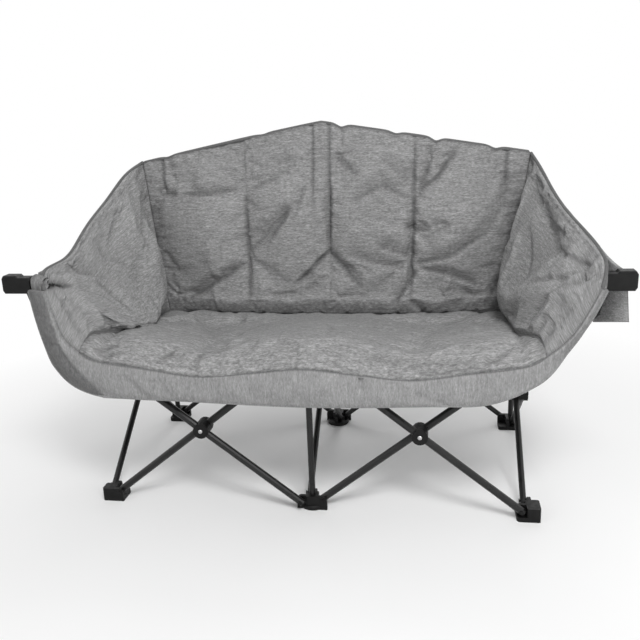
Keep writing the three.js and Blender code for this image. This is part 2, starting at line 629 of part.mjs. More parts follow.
const pockets = [[-POST_X, CORNER_POST_TOP], [0, MID_POST_TOP], [POST_X, CORNER_POST_TOP]];
const pocket = ([x, top]) => bar('z', [x, POST_Y, 0], top - POCKET_DEPTH, top + POCKET_CAP, POCKET_R, TUBE_SIDES)
  .add(block([x - POCKET_R, x + POCKET_R], [BACK_TOP_Y, POST_Y], [top - POCKET_DEPTH, top + POCKET_CAP]));
const pocketBore = ([x, top]) => bar('z', [x, POST_Y, 0], 0, top + FIT, POST_R + FIT, TUBE_SIDES);
const backShell = pockets.reduce((whole, at) => whole.add(pocket(at)), padded(backFront, backRear, 24, 10));
addMesh('back_panel', pockets.reduce((whole, at) => whole.subtract(pocketBore(at)), backShell), fabric);

// Seat: two halves that meet at a fold line across the middle, dished over each place.
function seatLip(s) {
  const dish = SEAT_DIP * Math.sin(Math.PI * Math.min(1, Math.abs(s))) ** 2;
  return SEAT_FRONT_Z - dish + SEAT_SIDE_RISE * s * s;
}

function seatTop(x, y) {
  const s = x / SEAT_HALF;
  const dish = SEAT_DIP * Math.sin(Math.PI * Math.min(1, Math.abs(s))) ** 2;
  const crest = SEAT_CREST_Z - dish * 0.75;
  const lip = seatLip(s);
  const rear = SEAT_REAR_Z + SEAT_SIDE_RISE * s * s;
  if (y < SEAT_CREST_Y) {
    const t = (SEAT_CREST_Y - y) / (SEAT_CREST_Y - SEAT_FRONT_Y);
    return mix(crest, lip, t * t);
  }
  const t = (y - SEAT_CREST_Y) / (SEAT_REAR_Y - SEAT_CREST_Y);
  return mix(crest, rear, t * t * (3 - 2 * t) * 0.5 + t * 0.5) - dish * 0.4 * Math.sin(Math.PI * t);
}

const recessHalf = MID_PIVOT + LUG_R + 6;

function seatHalf(name, from, to) {
  const spread = (u) => (2 * u - 1) * SEAT_HALF;
  const top = (u, v) => [spread(u), mix(from, to, v), seatTop(spread(u), mix(from, to, v))];
  const under = (u, v) => {
    const [x, y, z] = top(u, v);
    const lip = Math.min(1, (y - SEAT_FRONT_Y) / 40, (SEAT_REAR_Y - y) / 40);
    const side = Math.min(1, 12 * u, 12 * (1 - u));
    return [x, y, z - SEAT_RIM - (SEAT_THICK - SEAT_RIM) * Math.max(0, Math.min(lip, side))];
  };
  const recess = block([-recessHalf, recessHalf], [FRONT_OUTER_Y - LUG_R - 6, SIDE_FRONT_Y + LUG_R + 3], [0, topZ + frontEnd - FIT]);
  addMesh(name, padded(top, under, 20, 6).subtract(recess), fabric);
}

seatHalf('seat_front_half', SEAT_FRONT_Y, SEAT_FOLD_Y - SEAT_JOIN / 2);
seatHalf('seat_rear_half', SEAT_FOLD_Y + SEAT_JOIN / 2, SEAT_REAR_Y);

// Front band: a boxed strip that hangs before the seat and climbs to both arm tips.
const tipX = ARM_TIP_X - SEAT_HALF;
const tipZ = ARM_TIP_Z - 14 - seatLip(1);

// The hem of an arm, from the seat's front corner to the tip: share across, then share up.
const hemShares = [[0.34, 0.13], [0.58, 0.4], [0.72, 0.7], [0.81, 1]];
const hem = hemShares.map(([across, up]) => [SEAT_HALF + tipX * across, seatLip(1) + tipZ * up]);
const lip = [0, 0.25, 0.5, 0.75, 1].map((share) => [SEAT_HALF * share, seatLip(share)]);

// The band's lower edge, as shares of the hem's reach beyond the seat corner and above the drop.
const lowShares = [[0.24, 0.14], [0.63, 0.35], [0.87, 0.62], [1.03, 0.95]];
const lowZ = (share) => mix(seatLip(0) - BAND_DROP, ARM_TIP_Z, share);
const lowInner = [[0, 0], [0.57, 0.03], [0.86, 0.07]].map(([across, up]) => [SEAT_HALF * across, lowZ(up)]);
const lowOuter = lowShares.map(([across, up]) => [SEAT_HALF + tipX * across, lowZ(up)]);

function mirrored(half) {
  const right = half.map(([x, z]) => new THREE.Vector3(x, 0, z));
  const left = half.slice(1).reverse().map(([x, z]) => new THREE.Vector3(-x, 0, z));
  return new THREE.CatmullRomCurve3([...left, ...right]);
}

const bandTop = mirrored([...lip, ...hem]);
const bandLow = mirrored([...lowInner, ...lowOuter]);
const hemStart = (1 + (lip.length - 1) / (lip.length + hem.length - 1)) / 2;

function bandFace(depth) {
  return (u, v) => {
    const [top, low] = [bandTop.getPoint(u), bandLow.getPoint(u)];
    const side = Math.abs(2 * u - 1);
    const { smoothstep } = THREE.MathUtils;
    const climb = smoothstep(side, 0.45, 0.7) * (1 - 0.8 * smoothstep(side, 0.72, 0.92));
    const tuck = BAND_TUCK * climb * Math.max(0, 1 - 2 * v);
    return [mix(low.x, top.x, v), depth + tuck, mix(low.z, top.z, v)];
  };
}

addMesh('front_band', padded(bandFace(BAND_FRONT_Y), bandFace(BAND_REAR_Y), 48, 2), fabric);

// Arms: padded panels slung from the back corner to the arm tip, rolled over the arm tube at the front.
function armChord(u, v) {
  const seatY = mix(SEAT_FRONT_Y, BACK_LOW_Y + BACK_RIM, u);
  const low = [ARM_LOW_X, seatY, seatTop(SEAT_HALF, Math.min(SEAT_REAR_Y, seatY))];
  const sag = ARM_SAG * Math.exp(-(((u - 0.2) / 0.15) ** 2));
  const high = [mix(ARM_TIP_X, ARM_BACK_X, u), mix(ARM_TIP_Y, BACK_TOP_Y + BACK_RIM, u), mix(ARM_TIP_Z, ARM_BACK_Z, u) - sag];
  const bulge = ARM_BULGE * Math.sin(Math.PI * v) * Math.sin(Math.PI * Math.max(0, (u - 0.12) / 0.88));
  return [mix(low[0], high[0], v) + bulge, mix(low[1], high[1], v), mix(low[2], high[2], v) - 0.4 * bulge];
}

function armPoint(hand, u, v) {
  const [x, y, z] = armChord(u, v);
  const [x0, y0, z0] = armChord(0, v);
  const edge = bandTop.getPoint(mix(hemStart, 1, v));
  const roll = Math.min(1, u / ARM_ROLL);
  const left = 1 - Math.sin(roll * Math.PI / 2);
  return [hand * (x + (edge.x - x0) * left), y + (SEAT_FRONT_Y - y0) * (1 - roll), z + (edge.z - z0) * left];
}

function armPanel(name, hand) {
  const inner = (u, v) => {
    const [x, y, z] = armPoint(hand, u, v);
    const front = Math.min(1, u / ARM_SWELL);
    const puff = ARM_PUFF * Math.sqrt(front * (2 - front)) * Math.min(1, 4 * (1 - u)) * crown(v);
    return [x - hand * puff * 0.75, y, z + puff * 0.66];
  };
  const outer = (u, v) => {
    const [x, y, z] = armPoint(hand, u, v);
    const edge = Math.min(1, 5 * v, 5 * (1 - v), 8 * (1 - u));
    const pad = ARM_RIM + (ARM_THICK - ARM_RIM) * Math.max(0, edge) * Math.min(1, u / ARM_ROLL);
    return [x + hand * pad * 0.75, y, z - pad * 0.66];
  };
  addMesh(name, padded(inner, outer, 18, 8), fabric);
}

armPanel('left_arm_panel', -1);
armPanel('right_arm_panel', 1);

// Pockets that hang outside the arms from the top hem.
function sidePocket(name, hand) {
  const face = (out) => (u, v) => {
    const along = mix(FLAP_FROM, FLAP_TO, u);
    const [x, y, z] = armPoint(hand, along, 1);
    const drop = mix(FLAP_DROP, FLAP_REAR_DROP, u) * (1 - v);
    const belly = FLAP_SEW + mix(FLAP_OUT, FLAP_REAR_OUT, u) * (1 - v);
    return [x + hand * (belly + out), y, z - 4 - drop];
  };
  addMesh(name, padded(face(FLAP_THICK), face(0), 6, 4), fabric);
}

sidePocket('left_side_pocket', -1);
sidePocket('right_side_pocket', 1);

export default loveseat;
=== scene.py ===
import json
import math

import bpy
import numpy as np
from mathutils import Matrix, Vector

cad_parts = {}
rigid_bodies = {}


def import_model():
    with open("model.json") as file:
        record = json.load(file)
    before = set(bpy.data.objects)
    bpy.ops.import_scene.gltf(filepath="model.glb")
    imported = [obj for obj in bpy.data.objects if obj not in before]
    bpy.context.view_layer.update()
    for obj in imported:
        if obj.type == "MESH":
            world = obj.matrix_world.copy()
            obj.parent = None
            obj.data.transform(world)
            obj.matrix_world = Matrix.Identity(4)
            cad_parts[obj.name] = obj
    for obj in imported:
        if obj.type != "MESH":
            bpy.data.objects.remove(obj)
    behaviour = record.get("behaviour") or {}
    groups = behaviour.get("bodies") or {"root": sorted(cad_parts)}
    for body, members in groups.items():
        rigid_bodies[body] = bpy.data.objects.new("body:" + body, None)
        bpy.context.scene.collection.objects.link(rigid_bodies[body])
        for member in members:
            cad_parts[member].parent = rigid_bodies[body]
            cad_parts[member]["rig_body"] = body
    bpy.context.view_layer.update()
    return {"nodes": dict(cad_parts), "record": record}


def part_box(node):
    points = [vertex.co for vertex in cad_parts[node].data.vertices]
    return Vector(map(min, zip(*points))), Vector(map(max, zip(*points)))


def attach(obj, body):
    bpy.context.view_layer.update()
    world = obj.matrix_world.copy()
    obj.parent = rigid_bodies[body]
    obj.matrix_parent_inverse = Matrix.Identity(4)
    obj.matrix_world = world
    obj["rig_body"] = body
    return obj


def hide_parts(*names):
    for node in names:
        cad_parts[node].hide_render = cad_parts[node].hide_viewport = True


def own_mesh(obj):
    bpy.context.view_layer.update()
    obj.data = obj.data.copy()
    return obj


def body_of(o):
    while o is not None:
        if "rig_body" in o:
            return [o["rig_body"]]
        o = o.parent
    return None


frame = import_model()
scene = bpy.context.scene
scene.view_settings.view_transform = "Standard"

# Camera: it stands before the right half of the seat, a little above the back's top,
# and looks down and to the left, as the photograph was taken.
camera_place = (0.3024, -1.934, 0.9828)
camera_axes = Matrix((
    (0.98859, -0.00517, 0.15052),
    (0.14614, 0.27466, -0.95037),
    (-0.03643, 0.96153, 0.27228),
))
camera = bpy.data.objects.new("camera", bpy.data.cameras.new("camera"))
scene.collection.objects.link(camera)
camera.data.lens = 41.5
camera.data.sensor_width = 36
camera.data.clip_end = 60
camera.matrix_world = Matrix.Translation(camera_place) @ camera_axes.to_4x4()
scene.camera = camera


# Studio: a pale floor that keeps the shadow near the object and runs out into plain white,
# a white surround, and four large soft lamps.
def material(name, roughness, metallic=0.0, specular=0.5):
    """A new material with its shader's plain numbers set."""
    made = bpy.data.materials.new(name)
    made.use_nodes = True
    shader = made.node_tree.nodes["Principled BSDF"]
    shader.inputs["Roughness"].default_value = roughness
    shader.inputs["Metallic"].default_value = metallic
    shader.inputs["Specular IOR Level"].default_value = specular
    return made, made.node_tree, shader


def shader_node(tree, kind, links=(), **values):
    """A node of a kind, with its properties set and its inputs linked by name or number."""
    made = tree.nodes.new(kind)
    for key, value in values.items():
        setattr(made, key, value)
    for socket, source in links:
        if hasattr(source, "node"):
            tree.links.new(source, made.inputs[socket])
        else:
            made.inputs[socket].default_value = source
    return made


def object_place(tree):
    """Places on a piece in metres, in the object's own frame."""
    return tree.nodes.new("ShaderNodeTexCoord").outputs["Object"]


def noise(tree, place, stretch, detail=2.0, rough=0.5):
    """Noise with one scale for each axis of the place that it reads."""
    spread = shader_node(tree, "ShaderNodeMapping", [("Vector", place), ("Scale", stretch)])
    inputs = [("Vector", spread.outputs[0]), ("Scale", 1.0), ("Detail", detail), ("Roughness", rough)]
    return shader_node(tree, "ShaderNodeTexNoise", inputs).outputs["Fac"]


def ramp(tree, factor, stops):
    """A run of greys over a factor."""
    made = tree.nodes.new("ShaderNodeValToRGB")
    while len(made.color_ramp.elements) < len(stops):
        made.color_ramp.elements.new(0.5)
    for element, (place, grey) in zip(made.color_ramp.elements, stops):
        element.position = place
        element.color = (grey, grey, grey, 1)
    tree.links.new(factor, made.inputs["Fac"])
    return made.outputs["Color"]


def speckle(tree, socket, place, scale, detail, stops):
    """Noise of one scale all ways, run through a ramp into a shader's socket."""
    tree.links.new(ramp(tree, noise(tree, place, (scale, scale, scale), detail), stops), socket)


def bump(tree, shader, height, strength, distance):
    """Fine relief: the shader's normal is tilted by the slope of a height."""
    inputs = [("Height", height), ("Strength", strength), ("Distance", distance)]
    made = shader_node(tree, "ShaderNodeBump", inputs)
    tree.links.new(made.outputs["Normal"], shader.inputs["Normal"])


floor_half = 14
shadow_full, shadow_gone = 0.35, 1.7
floor = bpy.data.objects.new("floor", bpy.data.meshes.new("floor"))
floor_corners = [(floor_half * x, floor_half * y, 0) for x, y in [(-1, -1), (1, -1), (1, 1), (-1, 1)]]
floor.data.from_pydata(floor_corners, [], [(0, 1, 2, 3)])
scene.collection.objects.link(floor)
pale, tree, shader = material("pale_floor", 0.9, specular=0.1)
place = object_place(tree)
speckle(tree, shader.inputs["Base Color"], place, 1.5, 2, [(0.3, 0.88), (0.7, 0.91)])
reach = shader_node(tree, "ShaderNodeVectorMath", [(0, place)], operation="LENGTH")
limits = [("Value", reach.outputs["Value"]), ("From Min", shadow_full), ("From Max", shadow_gone)]
fade = shader_node(tree, "ShaderNodeMapRange", limits)
path = tree.nodes.new("ShaderNodeLightPath")
factors = [(0, path.outputs["Is Camera Ray"]), (1, fade.outputs[0])]
seen = shader_node(tree, "ShaderNodeMath", factors, operation="MULTIPLY")
white = shader_node(tree, "ShaderNodeEmission", [("Color", (1, 1, 1, 1)), ("Strength", 1.0)])
mixed = [(0, seen.outputs[0]), (1, shader.outputs[0]), (2, white.outputs[0])]
paper = shader_node(tree, "ShaderNodeMixShader", mixed)
tree.links.new(paper.outputs[0], tree.nodes["Material Output"].inputs["Surface"])
floor.data.materials.append(pale)

surround_light, surround_seen = 0.38, 1.0
world = bpy.data.worlds.new("studio")
scene.world = world
world.use_nodes = True
tree = world.node_tree
path = tree.nodes.new("ShaderNodeLightPath")
shown = path.outputs["Is Camera Ray"]
for ray in ("Is Glossy Ray", "Is Transmission Ray"):
    added = [(0, shown), (1, path.outputs[ray])]
    shown = shader_node(tree, "ShaderNodeMath", added, operation="ADD", use_clamp=True).outputs[0]
levels = [("Value", shown), ("To Min", surround_light), ("To Max", surround_seen)]
level = shader_node(tree, "ShaderNodeMapRange", levels)
tree.nodes["Background"].inputs["Color"].default_value = (1, 1, 1, 1)
tree.links.new(level.outputs[0], tree.nodes["Background"].inputs["Strength"])
for name, place, aim, size, power in [
    ("key", (0.9, -2.4, 3.2), (0, 0, 0.5), 1.1, 84),
    ("fill", (-2.3, -2.0, 1.7), (0.3, 0, 0.5), 1.6, 9),
    ("side", (2.0, -2.5, 1.2), (0.2, 0, 0.4), 1.4, 22),
    ("rim", (0.4, 2.6, 2.6), (0, 0, 0.6), 1.6, 30),
]:
    light = bpy.data.objects.new(name, bpy.data.lights.new(name, "AREA"))
    light.data.size = size
    light.data.energy = power
    light.location = place
    light.rotation_mode = "QUATERNION"
    light.rotation_quaternion = (Vector(aim) - Vector(place)).to_track_quat("-Z", "Y")
    scene.collection.objects.link(light)

# Tubes and posts: drawn steel tube under satin black enamel, sprayed and baked before the frame
# is riveted together. The enamel has faint orange peel and light scuffs.
enamel, tree, shader = material("black_enamel", 0.3, specular=0.35)
place = object_place(tree)
speckle(tree, shader.inputs["Base Color"], place, 30, 3, [(0.35, 0.003), (0.65, 0.007)])
speckle(tree, shader.inputs["Roughness"], place, 55, 4, [(0.3, 0.26), (0.7, 0.42)])
shader.inputs["Coat Weight"].default_value = 0.12
shader.inputs["Coat Roughness"].default_value = 0.15
bump(tree, shader, noise(tree, place, (900, 900, 900), 1), 0.06, 0.0004)

# Feet, hubs, brackets, sliders and arm caps: moulded black nylon with a fine sparked grain.
# They are pushed on the tube ends or closed round them, and riveted.
nylon, tree, shader = material("dark_nylon", 0.5, specular=0.22)
place = object_place(tree)
speckle(tree, shader.inputs["Base Color"], place, 40, 3, [(0.3, 0.003), (0.7, 0.007)])
speckle(tree, shader.inputs["Roughness"], place, 120, 2, [(0.3, 0.42), (0.7, 0.6)])
bump(tree, shader, noise(tree, place, (1400, 1400, 1400), 2), 0.18, 0.0005)

# Round shading for the frame's pieces: tubes and mouldings are round, so every edge flatter than
# 40 degrees is shaded smooth, and sharper ones stay as edges.
sharp_edge = math.radians(40)
rounding = bpy.data.node_groups.new("round_shading", "GeometryNodeTree")
for way in ("INPUT", "OUTPUT"):
    rounding.interface.new_socket("Geometry", in_out=way, socket_type="NodeSocketGeometry")
inlet = rounding.nodes.new("NodeGroupInput")
outlet = rounding.nodes.new("NodeGroupOutput")
angle = rounding.nodes.new("GeometryNodeInputMeshEdgeAngle")
compared = [(0, angle.outputs["Unsigned Angle"]), (1, sharp_edge)]
flat = shader_node(rounding, "FunctionNodeCompare", compared, operation="LESS_THAN")
faces = shader_node(rounding, "GeometryNodeSetShadeSmooth", [("Geometry", inlet.outputs[0])])
shaded = [("Geometry", faces.outputs[0]), ("Shade Smooth", flat.outputs[0])]
edges = shader_node(rounding, "GeometryNodeSetShadeSmooth", shaded, domain="EDGE")
rounding.links.new(edges.outputs[0], outlet.inputs[0])
finishes = {"black_enamel_steel": enamel, "dark_nylon": nylon}
node_slot = {row["node"]: row["material_slot"] for row in frame["record"]["subparts"]}
for name, node in frame["nodes"].items():
    if node_slot[name] in finishes:
        node.data.materials.clear()
        node.data.materials.append(finishes[node_slot[name]])
        node.modifiers.new("round", "NODES").node_group = rounding


# Rivets: bright domed heads of plated steel over the pins of the front, side and rear hubs.
# Each is a half sphere, flattened and set on the hub's outer face.
def smooth_mesh(name, corners, faces, finish):
    """A smooth-shaded mesh object from corner places and faces."""
    mesh = bpy.data.meshes.new(name)
    mesh.from_pydata(corners.tolist(), [], faces.tolist())
    mesh.polygons.foreach_set("use_smooth", np.ones(len(mesh.polygons), bool))
    mesh.materials.append(finish)
    piece = bpy.data.objects.new(name, mesh)
    scene.collection.objects.link(piece)
    return piece


def ring_faces(rings, sides):
    """Quads between rings of points that each close on themselves."""
    ids = np.arange(rings * sides).reshape(rings, sides)
    turned = np.roll(ids, -1, axis=1)
    return np.stack([ids[:-1], turned[:-1], turned[1:], ids[1:]], -1).reshape(-1, 4)


zinc, tree, shader = material("plated_steel", 0.32, metallic=1.0)
place = object_place(tree)
speckle(tree, shader.inputs["Base Color"], place, 300, 3, [(0.3, 0.42), (0.7, 0.62)])
speckle(tree, shader.inputs["Roughness"], place, 700, 2, [(0.3, 0.25), (0.7, 0.42)])
rivet_r, rivet_rise, rivet_sink = 0.0056, 0.0024, 0.0006
for name, node in frame["nodes"].items():
    if not name.endswith("_hub_front"):
        continue
    low, high = (np.array(corner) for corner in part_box(name))
    middle = (low + high) / 2
    axis = 0 if name.startswith("side") else 1
    outward = -1 if axis == 1 and middle[1] < 0 else 1
    around = np.linspace(0, 2 * np.pi, 20, endpoint=False)
    polar, turn = np.meshgrid(np.linspace(0, np.pi / 2, 7), around, indexing="ij")
    reach = rivet_r * np.maximum(np.sin(polar), 0.02)
    across, up = reach * np.cos(turn), reach * np.sin(turn)
    out = rivet_rise * np.cos(polar) * outward
    face = (low if outward < 0 else high)[axis] - outward * rivet_sink
    if axis == 0:
        dome = np.stack([face + out, middle[1] + across, middle[2] + up], -1)
    else:
        dome = np.stack([middle[0] + across, face + out, middle[2] + up], -1)
    faces = ring_faces(*dome.shape[:2])
    if (axis == 1) == (outward > 0):
        faces = faces[:, ::-1]
    head = smooth_mesh(name.replace("_hub_front", "_rivet"), dome.reshape(-1, 3), faces, zinc)
    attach(head, body_of(node)[0])


# Canvas: heathered grey oxford cloth, woven from mixed light and dark yarn, coated on the rear.
# Its streaks run with the yarn. Folds, seams, hollows and rolls are darkened by painted shade.
def canvas(name, light, contrast, upright=False):
    """Slubs are noise drawn out along the yarn, the weave is two fine waves multiplied, and painted shade
    darkens folds.
    """
    made, tree, shader = material(name, 0.92, specular=0.12)
    cloth = shader_node(tree, "ShaderNodeUVMap", uv_map="cloth").outputs[0]
    if upright:
        turned = [("Vector", cloth), ("Rotation", (0, 0, math.pi / 2))]
        cloth = shader_node(tree, "ShaderNodeMapping", turned).outputs[0]
    slub_greys = [(0.3, 1 - 0.25 * contrast), (0.5, 1.0), (0.7, 1 + 0.3 * contrast)]
    yarn_greys = [(0.28, 1 - 0.38 * contrast), (0.5, 1.0), (0.72, 1 + 0.42 * contrast)]
    slub = ramp(tree, noise(tree, cloth, (30, 150, 1), 4, 0.7), slub_greys)
    yarn = ramp(tree, noise(tree, cloth, (110, 330, 1), 3, 0.7), yarn_greys)
    tint = ramp(tree, noise(tree, cloth, (5, 5, 1), 3), [(0.3, 0.93 * light), (0.7, 1.06 * light)])
    # Painted shade: each piece's map darkens the colour where shade falls in folds, seams and hollows.
    fold = shader_node(tree, "ShaderNodeAttribute", attribute_name="fold").outputs["Fac"]
    shade = ramp(tree, fold, [(0.0, 1.0), (0.8, 0.5), (1.0, 0.06)])
    for layer in (slub, yarn, shade):
        layers = [("Factor", 1.0), (6, tint), (7, layer)]
        mixed = shader_node(tree, "ShaderNodeMix", layers, data_type="RGBA", blend_type="MULTIPLY")
        tint = mixed.outputs[2]
    tree.links.new(tint, shader.inputs["Base Color"])
    wave = [("Vector", cloth), ("Scale", 230.0), ("Distortion", 0.6)]
    warp, weft = (shader_node(tree, "ShaderNodeTexWave", wave, bands_direction=way) for way in "XY")
    crossed = [(0, warp.outputs["Fac"]), (1, weft.outputs["Fac"])]
    weave = shader_node(tree, "ShaderNodeMath", crossed, operation="MULTIPLY")
    rough = [(0, weave.outputs[0]), (1, noise(tree, cloth, (60, 420, 1), 3))]
    relief = shader_node(tree, "ShaderNodeMath", rough, operation="ADD")
    bump(tree, shader, relief.outputs[0], 0.35, 0.0008)
    shader.inputs["Sheen Weight"].default_value = 0.08
    shader.inputs["Sheen Roughness"].default_value = 0.5
    return made


grain_across = canvas("grey_canvas_across", 0.270, 1.15)
grain_upright = canvas("grey_canvas_upright", 0.275, 0.7, upright=True)
# A dark copy of the canvas for cords in seams and hems: painted shade in those hollows and along edges.
painted_shade_cloth = canvas("grey_canvas_painted_shade", 0.13, 0.6)


# Back: two layers of canvas over foam, sewn into four upright channels, with a sleeve band in the
# middle and pole pockets at the corners. It hangs from the three posts by its pockets.
def lerp(a, b, t):
    """A straight run from a to b as t goes from 0 to 1."""
    return a + (b - a) * t


def smooth(t):
    """An even step from 0 to 1 with a soft start and end."""
    t = np.clip(t, 0, 1)
    return t * t * (3 - 2 * t)


def crown(t):
    """A rounded swell: the root of a half wave."""
    return np.sqrt(np.clip(np.sin(np.pi * t), 0, None))


def grid(columns, rows):
    """Even places from 0 to 1 across and up a sheet."""
    return np.meshgrid(np.linspace(0, 1, columns), np.linspace(0, 1, rows))


def bell(t):
    """A bell curve: e to the minus square."""
    return np.exp(-(t**2))


def grid_faces(rows, columns):
    """Quads over a grid of points."""
    ids = np.arange(rows * columns).reshape(rows, columns)
    return np.stack([ids[:-1, :-1], ids[:-1, 1:], ids[1:, 1:], ids[1:, :-1]], -1).reshape(-1, 4)


def inflate(sheet, sewn, grow, pressure, bend, frames, cap):
    """A cloth run: the sheet grows under pressure while sewn points hold, and none moves past the cap."""
    corners = sheet.reshape(-1, 3)
    mesh = bpy.data.meshes.new("cloth")
    mesh.from_pydata(corners.tolist(), [], grid_faces(*sheet.shape[:2]).tolist())
    cloth = bpy.data.objects.new("cloth", mesh)
    scene.collection.objects.link(cloth)
    pins = cloth.vertex_groups.new(name="sewn")
    weight = np.round(np.clip(sewn, 0, 1).ravel() * 20) / 20
    for hold in np.unique(weight[weight > 0]):
        pins.add(np.flatnonzero(weight == hold).tolist(), float(hold), "REPLACE")
    made = cloth.modifiers.new("cloth", "CLOTH")
    made.settings.quality = 5
    made.settings.mass = 0.2
    made.settings.air_damping = 4
    made.settings.tension_stiffness = 30
    made.settings.compression_stiffness = 30
    made.settings.shear_stiffness = 10
    made.settings.bending_stiffness = bend
    made.settings.vertex_group_mass = "sewn"
    made.settings.shrink_min = -grow
    made.settings.use_pressure = True
    made.settings.uniform_pressure_force = pressure
    made.settings.effector_weights.gravity = 0
    made.collision_settings.use_collision = False
    made.point_cache.frame_end = frames + 5
    for step in range(1, frames + 1):
        scene.frame_set(step)
    moved = np.empty(len(corners) * 3)
    cloth.evaluated_get(bpy.context.evaluated_depsgraph_get()).data.vertices.foreach_get("co", moved)
    bpy.data.objects.remove(cloth)
    bpy.data.meshes.remove(mesh)
    scene.frame_set(1)
    shift = moved.reshape(-1, 3) - corners
    length = np.linalg.norm(shift, axis=1, keepdims=True)
    shift *= np.tanh(length / cap) * cap / np.maximum(length, 1e-9)
    return (corners + shift).reshape(sheet.shape)


def finer(sheet):
    """Twice as many points each way: a new point lies on the cubic through its four neighbours."""
    for axis in (0, 1):
        line = np.moveaxis(sheet, axis, 0)
        ends = np.concatenate([2 * line[:1] - line[1:2], line, 2 * line[-1:] - line[-2:-1]])
        joined = np.empty((2 * len(line) - 1, *line.shape[1:]))
        joined[::2] = line
        joined[1::2] = (9 * (ends[1:-2] + ends[2:-1]) - ends[:-3] - ends[3:]) / 16
        sheet = np.moveaxis(joined, 0, axis)
    return sheet


def press_folds(p, q, folds):
    """Depth of folds over flat places, with painted shade along them: a bell across each line, steeper on
    one side.
    """
    depth, dark = np.zeros(p.shape), np.zeros(p.shape)
    for line, deep, wide, tone in folds:
        line = np.array(line, float)
        sizes = np.linalg.norm(np.diff(line, axis=0), axis=1)
        starts = np.concatenate([[0], np.cumsum(sizes)[:-1]])
        nearest, along, hand = np.full(p.shape, np.inf), np.zeros(p.shape), np.zeros(p.shape)
        for a, b, start, size in zip(line[:-1], line[1:], starts, sizes):
            step = b - a
            t = np.clip(((p - a[0]) * step[0] + (q - a[1]) * step[1]) / (size * size), 0, 1)
            far = np.hypot(p - a[0] - t * step[0], q - a[1] - t * step[1])
            cross = step[0] * (q - a[1]) - step[1] * (p - a[0])
            hand = np.where(far < nearest, np.tanh(cross / size / wide), hand)
            along = np.where(far < nearest, (start + t * size) / sizes.sum(), along)
            nearest = np.minimum(far, nearest)
        fade = smooth(np.minimum(3.5 * along, 3.5 * (1 - along)))
        ratio = nearest / (wide * (1.5 + 0.9 * hand))
        depth += deep * fade * np.exp(-ratio * ratio)
        line_width = wide if tone == 1 else min(wide, 0.007)
        dark = np.maximum(dark, tone * fade * np.exp(-((nearest / line_width) ** 2)))
    return depth, dark


def outward(sheet, away):
    """Unit normals of a grid, turned away from another sheet."""
    normal = np.cross(np.gradient(sheet, axis=1), np.gradient(sheet, axis=0))
    normal /= np.maximum(np.linalg.norm(normal, axis=-1, keepdims=True), 1e-12)
    return normal * np.where((normal * (sheet - away)).sum(-1).mean() < 0, -1, 1)


def map_cloth(mesh, flat):
    """Each corner of a face takes the flat place of its point, as the cloth's own map."""
    corner_ids = np.empty(len(mesh.loops), np.int32)
    mesh.loops.foreach_get("vertex_index", corner_ids)
    places = flat[corner_ids].astype(np.float32).ravel()
    mesh.uv_layers.new(name="cloth").data.foreach_set("uv", places)


def padded_piece(name, front, rear, cloth, fold, finish):
    """A closed pad: two faces over one grid, joined round the rim, with its flat places and map of painted
    shade.
    """
    rows, columns = front.shape[:2]
    count = rows * columns
    corners = np.concatenate([front.reshape(-1, 3), rear.reshape(-1, 3)])
    ids = np.arange(count).reshape(rows, columns)
    near = grid_faces(rows, columns)
    rim = np.concatenate([ids[0, :], ids[1:, -1], ids[-1, -2::-1], ids[-2:0:-1, 0]])
    turned = np.roll(rim, -1)
    joined = np.stack([turned, rim, rim + count, turned + count], -1)
    faces = np.concatenate([near, near[:, ::-1] + count, joined])
    a, b, c, d = (corners[faces[:, i]] for i in range(4))
    volume = (a * np.cross(b, c)).sum() + (a * np.cross(c, d)).sum()
    piece = smooth_mesh(name, corners, faces if volume > 0 else faces[:, ::-1], finish)
    map_cloth(piece.data, np.concatenate([cloth.reshape(-1, 2), cloth.reshape(-1, 2)]))
    depths = np.concatenate([fold.ravel(), 0 * fold.ravel()]).astype(np.float32)
    piece.data.attributes.new("fold", "FLOAT", "POINT").data.foreach_set("value", depths)
    return piece


back_seam = 0.45
pad_half, corner_climb = 0.5056, 0.012
sleeve_at, sleeve_half = -0.021, 0.024
darkest_shade = 0.8
top_dips = [(0.065, 0.009), (0.34, 0.006), (0.54, 0.010), (0.83, 0.007), (-0.86, 0.004), (-0.34, 0.003)]


def back_edge(s):
    """Height of the back's top: it falls from the middle post to the corners, with bell-shaped dips."""
    dips = sum(deep * bell((s - at) / 0.03) for at, deep in top_dips)
    away = np.abs(s + 0.036 * (1 - s * s))
    return 0.951 - 0.101 * away**1.05 - dips


def back_sheet(u, v):
    """The middle of the back: straight lines from the seat's rear edge to the top edge."""
    s = 2 * u - 1
    height = lerp(0.3924 + corner_climb * s * s, back_edge(s), v)
    return np.stack([s * lerp(pad_half, 0.5726, v), lerp(0.196, 0.262, v), height], -1)


u, v = grid(117, 59)
s = np.abs(2 * u - 1)
middle = back_sheet(u, v)
bay = np.where(s < back_seam, s / back_seam, (s - back_seam) / (1 - back_seam))
foot = np.clip(v / 0.11, 0, 1)
full = np.sqrt(foot * (2 - foot)) * (1 - 0.8 * smooth((v - 0.5) / 0.45))
edge = np.clip(np.minimum(6 * u, 6 * (1 - u)), 0, 1) * np.clip(8 * (1 - v), 0, 1)
channel = lerp(1, crown(bay), smooth((v - 0.1) / 0.2))
puff = 0.005 + 0.042 * (0.45 + 0.55 * channel) * full * edge
front = middle - np.stack([0 * u, puff, 0 * u], -1)
rim = np.minimum.reduce([u * 1.1, (1 - u) * 1.1, v * 0.55, (1 - v) * 0.55])
sewn = 1 - smooth((rim - 0.004) / 0.010)
upright_seam = 1 - smooth((np.abs(s - back_seam) * 0.54 - 0.004) / 0.008)
sewn = np.maximum(sewn, 0.8 * upright_seam * smooth((v - 0.12) / 0.12))
